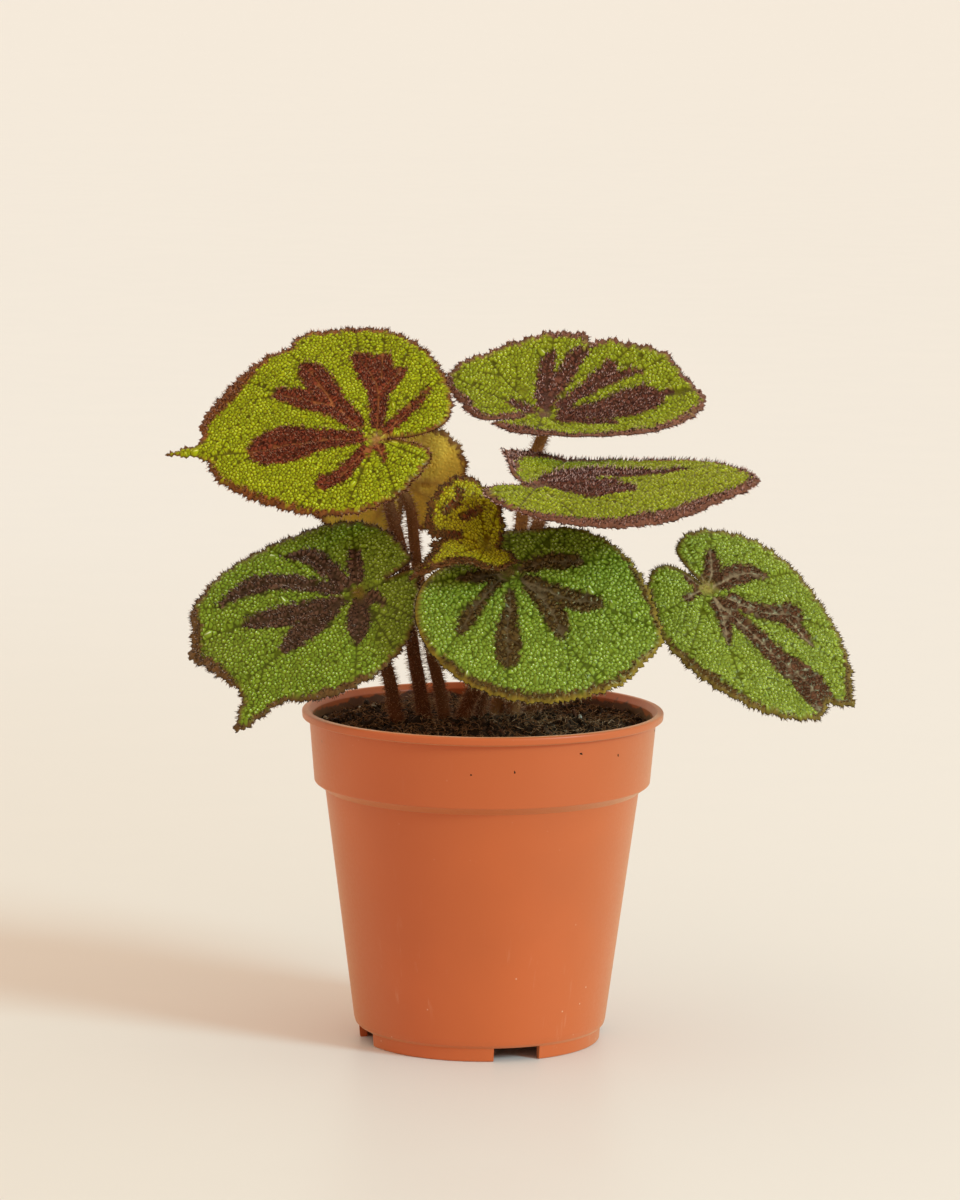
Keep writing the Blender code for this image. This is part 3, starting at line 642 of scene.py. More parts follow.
# Leaf shape, in millimetres. SEED_JITTER and THIN_VEIN_GAP are shares of the bumps' spacing.
PART_SIZE = 3000
TRIANGLE_HEIGHT = 0.866
SEED_JITTER, THIN_VEIN_GAP = 0.42, 0.3
TONE_SCRAMBLE = (12.9898, 78.233, 43758.5453)
PATCH_SCRAMBLE = (39.3, 11.7, 24634.6)
HOLLOW, HOLLOW_WIDTH = 0.55, 2.2
SLOW_WAVE = 0.5
EDGE_DROP, EDGE_DROP_WIDTH = 0.5, 1.6
TOP_LIFT, UNDER_SINK, EDGE_SINK = 0.18, 0.18, 0.16
MARKING_BLUR = 0.35
VEIN_WIDTH, RIBBED_VEIN_WIDTH, FURROW_WIDTH, HUB_WIDTH = 0.26, 0.34, 1.6, 2.4
VEIN_STEP, RIB_STEP, CROSS_STEP = 0.6, 0.4, 0.8
ARM_VEIN_REACH, EXTRA_VEIN_REACH, LEAST_EXTRA_VEIN, FORK_DISTANCE = 0.95, 0.93, 12, 15
SIDE_VEINS_FROM, SIDE_VEINS_EVERY, SIDE_VEIN_CURVE = 14, 13, 0.018
SIDE_VEIN_ANGLES, SIDE_VEIN_LENGTHS, SIDE_VEIN_MARGIN = (36, 50), (7, 13), 1.5
RIB_ANGLES = (50, 65)
OUTLINE_STEP, TOOTH_LENGTHS, TOOTH_SIZES = 0.5, (1.3, 2.6), (0.5, 1.2)
BRISTLE_OUTWARD, BRISTLE_STRAY, BRISTLE_SPREAD = 0.55, 0.22, (0.6, 1.25)
DARK_BRISTLE, GREEN_BRISTLE = 1.5, 0.65
FRINGE_STRAY, FRINGE_RISE, FRINGE_SPREAD, TAIL_FRINGE = 0.3, (-0.3, 0.6), (0.4, 1.2), 0.35

def plane_axes(face):
    """Level, up-slope and normal directions of a blade's plane."""
    right, up = np.radians(face)
    normal = np.array((np.sin(right) * np.cos(up), -np.cos(right) * np.cos(up), np.sin(up)))
    level = np.array((np.cos(right), np.sin(right), 0.0))
    return level, np.cross(normal, level), normal


def away(bearing, other):
    return (np.asarray(bearing) - other + 180) % 360 - 180


def distances(leaf):
    """The margin's eight distances, anticlockwise from the tip."""
    (left_1, right_1), (left_2, right_2), (left_3, right_3) = leaf["shoulders"], leaf["sides"], leaf["lobes"]
    return np.array((leaf["tip"], left_1, left_2, left_3, leaf["back"], right_3, right_2, right_1), float)


def margin(leaf, bearing):
    """The distance from the hub to the smooth margin."""
    reach = distances(leaf)
    count = len(reach)
    place = (np.asarray(bearing, float) % 360) / STEP
    i = np.floor(place).astype(int)
    t = place - i
    a, b, c, d = reach[(i - 1) % count], reach[i % count], reach[(i + 1) % count], reach[(i + 2) % count]
    r = 0.5 * (2 * b + (c - a) * t + (2 * a - 5 * b + 4 * c - d) * t ** 2 + (3 * b - a - 3 * c + d) * t ** 3)
    for at, length, half in leaf["points"]:
        r = r + length * np.exp(-np.abs(away(bearing, at) / half) ** 1.6)
    at, share, half = leaf["sinus"]
    return r * (1 - share * np.exp(-np.abs(away(bearing, at) / half) ** 1.5))


def bearing_of(leaf, p, q):
    return np.degrees(np.arctan2(q, p)) - leaf["turn"]


def rise(leaf, p, q):
    """The sheet's height over its plane, p along the level axis and q up the slope."""
    slope, across, twist = leaf["bend"]
    w = (slope * q * q + across * p * p + twist * p * q) / 1600
    bearing = bearing_of(leaf, p, q)
    r = np.hypot(p, q)
    if "crease" in leaf:
        steep, rounded, at = leaf["crease"]
        off = r * np.sin(np.radians(bearing - at))
        w = w + steep * (np.sqrt(off ** 2 + rounded ** 2) - rounded)
    if "arch" in leaf:
        height, middle, half = leaf["arch"]
        along = r * np.cos(np.radians(bearing))
        w = w + height * np.maximum(0, 1 - ((along - middle) / half) ** 2)
    share = np.minimum(r / np.maximum(margin(leaf, bearing), 1), 1.1)
    for at, half, lift in leaf.get("curls", ()):
        w = w + lift * share ** 3 * np.exp(-(away(bearing, at) / half) ** 2)
    return w


def flat_place(leaf, bearing, r):
    angle = np.radians(np.asarray(bearing, float) + leaf["turn"])
    return np.stack((r * np.cos(angle), r * np.sin(angle)), axis=-1)


def in_parts(points, measure):
    """Runs a measure on a few thousand points at a time, to spare memory."""
    parts = np.array_split(points, max(1, len(points) // PART_SIZE))
    return np.concatenate([measure(part) for part in parts], axis=-1)


def nearest(points, others):
    """For each point, the distance to the nearest of the others and which one it is."""
    def measure(part):
        gap = np.linalg.norm(part[:, None] - others[None], axis=2)
        return np.stack((gap.min(axis=1), gap.argmin(axis=1)))
    gap, which = in_parts(points, measure)
    return gap, which.astype(int)


def turned(direction, angle):
    x, y = direction
    return np.array((x * math.cos(angle) - y * math.sin(angle), x * math.sin(angle) + y * math.cos(angle)))


def lattice(reach, pitch):
    """A lattice of equal triangles that covers a disc."""
    row = pitch * TRIANGLE_HEIGHT
    rows = int(reach / row) + 1
    j, i = np.mgrid[-rows:rows + 1, -2 * rows:2 * rows + 1]
    return np.stack((pitch * (i + 0.5 * j).ravel(), row * j.ravel()), axis=1)


def fine_outline(leaf, draw, spacing, depth):
    """The margin with broad waves and fine irregular teeth, and the outward direction at each point."""
    bearing = np.linspace(-180, 180, 3001) + leaf["sinus"][0]
    line = flat_place(leaf, bearing, margin(leaf, bearing))
    gone = lengths_along(line)
    marks = np.linspace(0, gone[-1], int(gone[-1] / spacing), endpoint=False)
    points = np.stack([np.interp(marks, gone, line[:, k]) for k in (0, 1)], axis=1)
    at = np.interp(marks, gone, bearing)
    sides = np.roll(points, -2, axis=0) - np.roll(points, 2, axis=0)
    outward = np.stack((sides[:, 1], -sides[:, 0]), axis=1)
    outward /= np.maximum(np.linalg.norm(outward, axis=1), 1e-6)[:, None]
    calm = np.clip(np.abs(away(at, leaf["sinus"][0])) / leaf["sinus"][2] / 2 - 0.9, 0, 1)
    edges = np.cumsum(draw.uniform(*TOOTH_LENGTHS, int(gone[-1] / TOOTH_LENGTHS[0]) + 2))
    slot = np.searchsorted(edges, marks)
    start = np.where(slot > 0, edges[slot - 1], 0.0)
    share = (marks - start) / (edges[slot] - start)
    tooth = np.minimum(share * 1.4, (1 - share) * 3.5).clip(0, 1)
    tooth = tooth * draw.uniform(*TOOTH_SIZES, len(edges))[slot]
    wave = TOOTH_WAVE_DEPTH * np.cos(math.tau * marks / TOOTH_WAVE)
    offset = (wave + depth * (tooth - 0.4)) * calm
    return points + outward * offset[:, None], outward


def extend(leaf, arm):
    """An arm's centre line, from the hub, or from its fork, out to near the margin."""
    places = [tuple(flat_place(leaf, bearing, r)) for bearing, r, _ in arm]
    if arm[0][1] < FORK_DISTANCE:
        places.insert(0, (0.0, 0.0))
    bearing, r, _ = arm[-1]
    end = ARM_VEIN_REACH * float(margin(leaf, bearing))
    if end > r + 4:
        places.append(tuple(flat_place(leaf, bearing, end)))
    return places


def side_veins(leaf, line, draw):
    """Thin veins that leave a main one by turns to its left and right."""
    lines = []
    sign = 1
    for k in range(SIDE_VEINS_FROM, len(line) - 10, SIDE_VEINS_EVERY):
        along = unit(line[k + 1] - line[k - 1])
        angle = sign * math.radians(draw.uniform(*SIDE_VEIN_ANGLES))
        steps = np.arange(VEIN_STEP, draw.uniform(*SIDE_VEIN_LENGTHS), VEIN_STEP)
        bend = (steps ** 2)[:, None] * along * SIDE_VEIN_CURVE
        branch = line[k] + steps[:, None] * turned(along, angle) + bend
        fits = np.hypot(*branch.T) < margin(leaf, bearing_of(leaf, *branch.T)) - SIDE_VEIN_MARGIN
        if fits.all():
            lines.append(branch)
        sign = -sign
    return lines


def wide_places(leaf, arm):
    """An arm's points in the blade's plane, each with its half width."""
    return [(*flat_place(leaf, bearing, r), half) for bearing, r, half in arm]


def cross_ribs(leaf, draw):
    """Fine ribs that leave each arm's middle in pairs, and end at the arm's side."""
    lines = []
    for arm in leaf["arms"]:
        line = even_route(wide_places(leaf, arm), VEIN_STEP)
        for k in range(3, len(line) - 1, round(leaf["ribs"] / VEIN_STEP)):
            along = unit(line[k + 1, :2] - line[k - 1, :2])
            for sign in (1, -1):
                angle = sign * math.radians(draw.uniform(*RIB_ANGLES))
                steps = np.arange(RIB_STEP, max(line[k, 2] * 1.1, 1.0), RIB_STEP)
                lines.append(line[k, :2] + steps[:, None] * turned(along, angle))
    return lines


def veins(leaf, draw):
    """Main and thin veins as points in the blade's plane: places, strengths, and which are main ones."""
    lines = [even_route(extend(leaf, arm), VEIN_STEP) for arm in leaf["arms"]]
    taken = [arm[-1][0] for arm in leaf["arms"]]
    for bearing in EXTRA_VEINS:
        end = EXTRA_VEIN_REACH * float(margin(leaf, bearing))
        if end > LEAST_EXTRA_VEIN and np.abs(away(taken, bearing)).min() > FREE_ANGLE:
            lines.append(flat_place(leaf, bearing, np.arange(0, end, VEIN_STEP)))
    places, strengths, main = [], [], []
    for line in lines:
        places.append(line)
        strengths.append(np.linspace(1.0, 0.25, len(line)))
        main.append(np.ones(len(line)))
    for line in lines:
        for branch in side_veins(leaf, line, draw):
            places.append(branch)
            strengths.append(np.linspace(0.35, 0.12, len(branch)))
            main.append(np.zeros(len(branch)))
    for rib in cross_ribs(leaf, draw) if "ribs" in leaf else ():
        places.append(rib)
        strengths.append(np.full(len(rib), 0.3))
        main.append(np.zeros(len(rib)))
    return np.concatenate(places), np.concatenate(strengths), np.concatenate(main)


def cross_depth(leaf, points):
    """How far inside the dark cross each point lies, in millimetres, and below zero outside it."""
    samples = np.concatenate([even_route(wide_places(leaf, arm), CROSS_STEP) for arm in leaf["arms"]])

    def measure(part):
        gap = np.linalg.norm(part[:, None] - samples[None, :, :2], axis=2)
        return (samples[None, :, 2] - gap).max(axis=1)
    return in_parts(points, measure)


def inside_loop(loop, points):
    """True for each point inside a closed loop."""
    x0, y0 = loop.T
    x1, y1 = np.roll(loop, -1, axis=0).T
    steep = np.where(np.abs(y1 - y0) < 1e-9, 1e-9, y1 - y0)

    def measure(part):
        x, y = part[:, :1], part[:, 1:]
        crosses = (y0 > y) != (y1 > y)
        at = x0 + (y - y0) * (x1 - x0) / steep
        return (crosses & (at > x)).sum(axis=1) % 2 == 1
    return in_parts(points, measure)


def bump_seeds(leaf, draw, outline, vein_places, vein_main):
    """The middles of the bumps: a jittered lattice that keeps off the veins and the margin."""
    pitch = leaf["pitch"]
    seeds = lattice(max(distances(leaf)) + 14, pitch)
    seeds = seeds + draw.uniform(-SEED_JITTER, SEED_JITTER, seeds.shape) * pitch
    seeds = seeds[np.hypot(*seeds.T) < margin(leaf, bearing_of(leaf, *seeds.T)) + 2]
    seeds = seeds[inside_loop(outline, seeds)]
    gap, _ = nearest(seeds, outline)
    seeds = seeds[gap > 0.6 * pitch]
    gap, which = nearest(seeds, vein_places)
    clear = np.where(vein_main[which] > 0.5, 0.5, THIN_VEIN_GAP) * pitch
    return seeds[gap > clear]


def valleys(seeds, pitch):
    """Where neighbouring bumps meet: corners between three of them, and the middle of each shared side."""
    flat = geometry.delaunay_2d_cdt([Vector(point) for point in seeds], [], [], 0, 1e-6)
    triangles = np.array(flat[2])
    source = np.array([old[0] for old in flat[3]])
    triangles = source[triangles]
    a, b, c = (seeds[triangles[:, k]] for k in range(3))
    area = 2 * ((b - a)[:, 0] * (c - a)[:, 1] - (b - a)[:, 1] * (c - a)[:, 0])
    area = np.where(np.abs(area) < 1e-9, 1e-9, area)
    b2 = ((b - a) ** 2).sum(axis=1)
    c2 = ((c - a) ** 2).sum(axis=1)
    ux = ((c - a)[:, 1] * b2 - (b - a)[:, 1] * c2) / area
    uy = ((b - a)[:, 0] * c2 - (c - a)[:, 0] * b2) / area
    corners = a + np.stack((ux, uy), axis=1)
    small = np.hypot(ux, uy) < 0.85 * pitch
    pairs = np.concatenate([triangles[:, ends] for ends in ((0, 1), (1, 2), (2, 0))])
    pairs = np.unique(np.sort(pairs, axis=1), axis=0)
    first, second = seeds[pairs[:, 0]], seeds[pairs[:, 1]]
    short = np.linalg.norm(first - second, axis=1) < 1.5 * pitch
    pairs, middles = pairs[short], (0.5 * (first + second))[short]
    owners = np.concatenate((pairs[:, 0], pairs[:, 1]))
    slopes = seeds[owners] + 0.5 * (np.concatenate((middles, middles)) - seeds[owners])
    return corners[small], middles, slopes, owners


def apart(points, spacing):
    """Which points to keep so that no two share one square of a fine grid."""
    _, kept = np.unique(np.round(points / spacing).astype(int), axis=0, return_index=True)
    return np.sort(kept)


def triangulate(outline, inner):
    """Triangles over the outline's points, then the inner ones, all facing the same way."""
    points = np.concatenate((outline, inner))
    loop = list(range(len(outline)))
    made = geometry.delaunay_2d_cdt([Vector(point) for point in points], [], [loop], 1, 1e-5)
    source = np.array([old[0] if old else -1 for old in made[3]])
    triangles = source[np.array(made[2])]
    triangles = triangles[(triangles >= 0).all(axis=1)]
    a, b, c = (points[triangles[:, k]] for k in range(3))
    turn = (b - a)[:, 0] * (c - a)[:, 1] - (b - a)[:, 1] * (c - a)[:, 0]
    triangles[turn < 0] = triangles[turn < 0][:, ::-1]
    return triangles


def leaf_field(leaf, draw, outline):
    """Places and values of everything between the outlines of the upper side."""
    pitch = leaf["pitch"]
    vein_places, strengths, vein_main = veins(leaf, draw)
    seeds = bump_seeds(leaf, draw, outline, vein_places, vein_main)
    corners, middles, slopes, owners = valleys(seeds, pitch)
    places = np.concatenate((seeds, slopes, middles, corners))
    dome = np.concatenate((
        np.ones(len(seeds)), np.full(len(slopes), 0.66), np.full(len(middles), 0.1), np.zeros(len(corners)),
    ))
    owner = np.concatenate((np.arange(len(seeds)), owners, np.full(len(middles) + len(corners), -1)))
    gap, _ = nearest(places, vein_places)
    kept = (owner >= 0) | (gap > 0.4)
    kept &= inside_loop(outline, places)
    edge, _ = nearest(places, outline)
    kept &= (edge > 0.3) | (dome == 1)
    places, dome, owner = places[kept], dome[kept], owner[kept]
    on_vein = inside_loop(outline, vein_places) & (nearest(vein_places, outline)[0] > 0.5)
    on_vein &= (vein_main > 0.5) | (nearest(vein_places, seeds)[0] > THIN_VEIN_GAP * pitch)
    own = apart(vein_places, 0.35)
    own = own[on_vein[own]]
    places = np.concatenate((places, vein_places[own]))
    dome = np.concatenate((dome, -0.3 * strengths[own]))
    owner = np.concatenate((owner, np.full(len(own), -1)))
    once = apart(places, 0.16)
    return places[once], dome[once], owner[once], seeds, vein_places, strengths


def rim_width(leaf, bearing):
    width = np.full(np.shape(bearing), float(leaf["rim"][0]))
    for at, extra, half in leaf["rim"][1:]:
        width = width + extra * np.exp(-(away(bearing, at) / half) ** 2)
    return width


def soft_step(value, low, high):
    share = np.clip((value - low) / (high - low), 0, 1)
    return share * share * (3 - 2 * share)


def scrambled(points, across, along, spread):
    """A number from 0 to 1 for each point, which jumps from one bump to the next."""
    value = np.sin(points[:, 0] * across + points[:, 1] * along) * spread
    return value - np.floor(value)


def undulation(draw):
    """A slow wave over the sheet."""
    waves = [(*draw.normal(0, 1 / 16, 2), draw.uniform(0, math.tau)) for _ in range(6)]
    return lambda p, q: sum(np.sin(math.tau * (a * p + b * q) + c) for a, b, c in waves) / 6


def leaf_sheet(name, leaf, look, finishes):
    """The blade as one closed sheet. Returns it with the places and directions for its hairs."""
    draw = np.random.default_rng(sum(map(ord, name)))
    outline, outward = fine_outline(leaf, draw, OUTLINE_STEP, look.tooth_depth / MM)
    inner, dome, owner, seeds, vein_places, strengths = leaf_field(leaf, draw, outline)
    top = np.concatenate((outline, inner))
    dome = np.concatenate((np.full(len(outline), 0.25), dome))
    owner = np.concatenate((np.full(len(outline), -1), owner))
    judged = top.copy()
    judged[owner >= 0] = seeds[owner[owner >= 0]]
    slow = undulation(draw)

    def values(points):
        """Distance to the margin, to the veins, and the strength of the nearest vein."""
        edge, _ = nearest(points, outline)
        vein, which = nearest(points, vein_places)
        return edge, vein, strengths[which]

    edge, vein, strong = values(top)
    broad = -HOLLOW * strong * np.exp(-(vein / HOLLOW_WIDTH) ** 2) + SLOW_WAVE * slow(*top.T)
    height = look.bump_height / MM * dome * np.clip(edge / 2.5, 0.4, 1)
    height *= 1 + 0.25 * np.sin(judged[:, 0] * 7.1 + judged[:, 1] * 5.3)
    lift = TOP_LIFT + height + broad - EDGE_DROP * np.exp(-(edge / EDGE_DROP_WIDTH) ** 2)
    triangles = triangulate(outline, inner)

    under_kind = (dome == 1) | (dome <= 0.05) | (leaf["look"] == "pale")
    under_kind[:len(outline)] = False
    under = top[under_kind]
    pit = dome[under_kind]
    edge_2, vein_2, strong_2 = edge[under_kind], vein[under_kind], strong[under_kind]
    body = 0.42 * np.clip(edge_2 / 3, 0, 1)
    rib = look.rib_height / MM * strong_2 * np.exp(-(vein_2 / 0.55) ** 2)
    sink = -UNDER_SINK - body - 0.25 * (1 - pit.clip(0, 1)) * np.clip(edge_2 / 2, 0, 1) - rib
    sink += -HOLLOW * strong_2 * np.exp(-(vein_2 / HOLLOW_WIDTH) ** 2) + SLOW_WAVE * slow(*under.T)
    sink -= EDGE_DROP * np.exp(-(edge_2 / EDGE_DROP_WIDTH) ** 2)
    rim_lift = -EDGE_SINK + SLOW_WAVE * slow(*outline.T) - EDGE_DROP
    below = triangulate(outline, under)[:, ::-1]

    count, ring = len(top), len(outline)
    flat = np.concatenate((top, outline, under))
    heights = np.concatenate((lift, rim_lift, sink))
    level, slope, normal = plane_axes(leaf["face"])
    p, q = flat.T
    places = np.array(leaf["hub"], float) + p[:, None] * level + q[:, None] * slope
    places += (rise(leaf, p, q) + heights)[:, None] * normal
    following = (np.arange(ring) + 1) % ring
    wall = np.stack((following, np.arange(ring), count + np.arange(ring), count + following), axis=1)
    faces = [tuple(t) for t in triangles] + [tuple(w) for w in wall] + [tuple(t + count) for t in below]
    obj = mesh_object(name, places, faces, finishes)
    index = np.concatenate((np.zeros(len(triangles) + ring, int), np.ones(len(below), int)))
    obj.data.polygons.foreach_set("material_index", index)

    judged = np.concatenate((judged, outline, under))
    edge_all = nearest(judged, outline)[0]
    vein_all = np.concatenate((vein, nearest(outline, vein_places)[0], vein_2))
    strong_all = np.concatenate((strong, np.full(ring, 0.2), strong_2))
    bearing = bearing_of(leaf, *judged.T)
    depth = cross_depth(leaf, judged)
    ragged = 0.4 * np.sin(judged[:, 0] * 2.9) * np.sin(judged[:, 1] * 3.3)
    ragged += 1.1 * (scrambled(judged, *PATCH_SCRAMBLE) - 0.5)
    add_values(obj, "cross", soft_step(depth + ragged, -MARKING_BLUR, MARKING_BLUR))
    width = rim_width(leaf, bearing)
    add_values(obj, "rim", 1 - soft_step(edge_all + ragged, width - MARKING_BLUR, width + MARKING_BLUR))
    add_values(obj, "edge", 1 - soft_step(np.concatenate((edge, np.zeros(ring), edge_2)), 0.4, 1.3))
    vein_width = RIBBED_VEIN_WIDTH if "ribs" in leaf else VEIN_WIDTH
    add_values(obj, "vein", (0.55 + 0.45 * strong_all) * np.exp(-(vein_all / vein_width) ** 2))
    add_values(obj, "furrow", strong_all * np.exp(-(vein_all / FURROW_WIDTH) ** 2))
    add_values(obj, "dome", np.concatenate((dome, np.zeros(ring), pit)).clip(0, 1))
    add_values(obj, "tone", scrambled(judged, *TONE_SCRAMBLE))
    add_values(obj, "hub", np.exp(-(np.hypot(p, q) / HUB_WIDTH) ** 2))

    surface = dict(leaf=leaf, level=level, slope=slope, normal=normal, draw=draw)
    summit = (dome == 1) & (owner >= 0)
    surface["tops"], surface["top_flat"] = places[:count][summit], top[summit]
    summit_rim = edge[summit] < rim_width(leaf, bearing_of(leaf, *top[summit].T))
    surface["dark"] = (cross_depth(leaf, top[summit]) > -0.3) | summit_rim
    surface["on_tail"] = np.hypot(*outline.T) > max(distances(leaf)) + 2
    surface["edge"], surface["edge_out"] = 0.5 * (places[:ring] + places[count:count + ring]), outward
    return obj, surface


def leaf_hairs(name, surface, look, tree, finish):
    """A bristle on each bump and a fringe along the margin."""
    draw, leaf = surface["draw"], surface["leaf"]
    level, slope, normal = surface["level"], surface["slope"], surface["normal"]
    tops, flat = surface["tops"], surface["top_flat"]
    keep = draw.uniform(size=len(tops)) < look.bristle_share
    tops, flat, dark = tops[keep], flat[keep], surface["dark"][keep]
    doubled = dark & (leaf["look"] != "ripe")
    beside = draw.uniform(-0.5, 0.5, (int(doubled.sum()), 2)) * leaf["pitch"]
    second = tops[doubled] + beside[:, :1] * level + beside[:, 1:] * slope - 0.3 * normal
    tops = np.concatenate((tops, second))
    flat, dark = np.concatenate((flat, flat[doubled])), np.concatenate((dark, dark[doubled]))
    out = flat / np.maximum(np.hypot(*flat.T), 1)[:, None]
    lean = normal + BRISTLE_OUTWARD * (out[:, :1] * level + out[:, 1:] * slope)
    lean = lean + draw.normal(0, BRISTLE_STRAY, (len(tops), 3))
    length = look.bristle_length / MM * draw.uniform(*BRISTLE_SPREAD, len(tops))
    length = length * np.where(dark, DARK_BRISTLE, GREEN_BRISTLE)
    edge, edge_out = surface["edge"], surface["edge_out"]
    steps = np.arange(len(edge))
    picks = np.concatenate((steps, steps))
    after = (picks + 1) % len(edge)
    part = draw.uniform(size=len(picks))[:, None]
    roots = edge[picks] * (1 - part) + edge[after] * part
    away_from = edge_out[picks, :1] * level + edge_out[picks, 1:] * slope
    fringe = away_from + draw.normal(0, FRINGE_STRAY, (len(picks), 3))
    fringe = fringe + normal * draw.uniform(*FRINGE_RISE, (len(picks), 1))
    fringe_length = look.fringe_length / MM * draw.uniform(*FRINGE_SPREAD, len(picks))
    fringe_length *= np.where(surface["on_tail"][picks], TAIL_FRINGE, 1)
    points = np.concatenate((tops, roots))
    dots = mesh_object(f"points_{name}", points, [])
    leans = np.concatenate((lean, fringe))
    add_values(dots, "lean", leans / np.linalg.norm(leans, axis=1)[:, None])
    add_values(dots, "reach", np.concatenate((length, fringe_length)) * MM)
    add_values(dots, "shade", np.concatenate((dark.astype(float), np.ones(len(roots)))))
    hairs = grow(dots, f"hairs_{name}", tree, finish, Width=look.hair_width)
    bpy.data.objects.remove(dots, do_unlink=True)
    return hairs


# Leaf finishes

LOWER_UNDERSIDE = dict(under=(0.27, 0.27, 0.08), under_vein=(0.22, 0.09, 0.05))
# In each look, low and cross are the valleys' colours, darker as painted shade, high and cross_high those of
# the bump tops, and the pale glint colour is a painted highlight on some tops.
LEAF_COLOURS = {
    "young": dict(
        # The young look's bright lime is partly the young blade's own colour and partly painted light,
        # standing in for light shining through the thin blade.
        high=(0.330, 0.350, 0.004), low=(0.085, 0.072, 0.0006), painted_glint=(0.86, 0.88, 0.22),
        cross=(0.045, 0.004, 0.002), cross_high=(0.205, 0.036, 0.017), rim=(0.17, 0.050, 0.012),
        edge=(0.15, 0.048, 0.014), vein=(0.36, 0.11, 0.035), hub=(0.36, 0.17, 0.05),
        under=(0.36, 0.30, 0.05), under_vein=(0.20, 0.07, 0.03),
    ),
    "middle": dict(
        high=(0.262, 0.290, 0.010), low=(0.082, 0.078, 0.002), painted_glint=(0.84, 0.84, 0.42),
        cross=(0.030, 0.006, 0.004), cross_high=(0.140, 0.042, 0.028), rim=(0.165, 0.062, 0.040),
        edge=(0.16, 0.058, 0.036), vein=(0.075, 0.022, 0.018), hub=(0.12, 0.05, 0.03),
        under=(0.30, 0.27, 0.07), under_vein=(0.19, 0.07, 0.04),
    ),
    "old": dict(
        high=(0.192, 0.272, 0.018), low=(0.060, 0.080, 0.003), painted_glint=(0.88, 0.96, 0.62),
        cross=(0.020, 0.007, 0.003), cross_high=(0.110, 0.052, 0.034), rim=(0.095, 0.045, 0.016),
        edge=(0.11, 0.055, 0.018), vein=(0.060, 0.030, 0.018), hub=(0.15, 0.095, 0.012),
        **LOWER_UNDERSIDE,
    ),
    "worn": dict(
        high=(0.202, 0.280, 0.024), low=(0.060, 0.084, 0.004), painted_glint=(0.96, 1.0, 0.72),
        cross=(0.022, 0.009, 0.001), cross_high=(0.090, 0.050, 0.014), rim=(0.080, 0.042, 0.010),
        edge=(0.23, 0.155, 0.018), vein=(0.150, 0.100, 0.050), hub=(0.17, 0.11, 0.03),
        **LOWER_UNDERSIDE,
    ),
    "ripe": dict(
        high=(0.245, 0.305, 0.028), low=(0.076, 0.088, 0.003), painted_glint=(1.0, 1.0, 0.76),
        cross=(0.028, 0.008, 0.004), cross_high=(0.110, 0.040, 0.020), rim=(0.085, 0.042, 0.012),
        edge=(0.17, 0.115, 0.022), vein=(0.30, 0.20, 0.115), hub=(0.34, 0.27, 0.06),
        **LOWER_UNDERSIDE,
    ),
    "folded": dict(
        high=(0.350, 0.300, 0.005), low=(0.115, 0.065, 0.0006), painted_glint=(0.72, 0.62, 0.12),
        cross=(0.060, 0.010, 0.003), cross_high=(0.14, 0.030, 0.010), rim=(0.11, 0.036, 0.010),
        edge=(0.09, 0.030, 0.008), vein=(0.16, 0.08, 0.01), hub=(0.20, 0.15, 0.01),
        under=(0.30, 0.20, 0.015), under_vein=(0.14, 0.06, 0.02),
    ),
    "pale": dict(
        high=(0.220, 0.245, 0.012), low=(0.10, 0.12, 0.006), painted_glint=(0.55, 0.58, 0.15),
        cross=(0.05, 0.013, 0.010), cross_high=(0.10, 0.03, 0.02), rim=(0.20, 0.08, 0.02),
        edge=(0.16, 0.06, 0.018), vein=(0.25, 0.1, 0.05), hub=(0.30, 0.2, 0.06),
        # The pale look's bright underside is painted light: it stands in for light shining through the blade,
        # which lies in shade.
        under=(0.76, 0.49, 0.060), under_vein=(0.40, 0.17, 0.035),
    ),
}


def mottle_group():
    """Slow and fine mottling of a colour, for anything that grew."""
    group, nodes, start, end = new_group("grown_mottle", "ShaderNodeTree", (
        ("Colour", "NodeSocketColor", (0.5, 0.5, 0.5, 1.0)),
        ("Patch Size", "NodeSocketFloat", 60.0),
        ("Strength", "NodeSocketFloat", 0.3),
    ), (("Colour", "NodeSocketColor"), ("Grain", "NodeSocketFloat")))
    wide = nodes.noise(start["Patch Size"], 3.0)
    fine = nodes.noise(1500.0, 2.0)
    both = nodes.plus(nodes.times(wide, 0.7), nodes.times(fine, 0.3))
    shift = nodes.times(nodes.math("SUBTRACT", both, 0.5), start["Strength"])
    factor = nodes.plus(nodes.times(shift, 2.0), 1.0)
    nodes.put(end.inputs["Colour"], nodes.scaled(start["Colour"], factor))
    nodes.put(end.inputs["Grain"], fine)
    return group


def dust_group():
    """Fine specks and faint streaks, as masks."""
    group, nodes, start, end = new_group("dust_and_scuffs", "ShaderNodeTree", (
        ("Speck Scale", "NodeSocketFloat", 260.0),
        ("Speck Share", "NodeSocketFloat", 0.04),
    ), (("Specks", "NodeSocketFloat"), ("Streaks", "NodeSocketFloat")))
    cells = nodes.add("ShaderNodeTexVoronoi", {"Vector": nodes.place(), "Scale": start["Speck Scale"]})
    parts = nodes.add("ShaderNodeSeparateColor", {"Color": cells.outputs["Color"]})
    chosen = nodes.math("LESS_THAN", parts.outputs["Red"], start["Speck Share"])
    small = nodes.span(cells.outputs["Distance"], 0.05, 0.22, 1.0, 0.0)
    nodes.put(end.inputs["Specks"], nodes.times(chosen, small))
    long = nodes.add("ShaderNodeMapping", {
        "Vector": nodes.place(), "Scale": (420.0, 420.0, 34.0), "Rotation": (0.5, 0.35, 0.2),
    })
    streak = nodes.noise(1.0, 3.0, 0.6, long.outputs["Vector"])
    patch = nodes.span(nodes.noise(38.0, 2.0), 0.5, 0.68)
    nodes.put(end.inputs["Streaks"], nodes.times(nodes.span(streak, 0.6, 0.72), patch))
    return group


def grouped(nodes, tree, **values):
    node = nodes.tree.nodes.new("ShaderNodeGroup")
    node.node_tree = tree
    for label, value in values.items():
        nodes.put(node.inputs[label.replace("_", " ")], value)
    return node


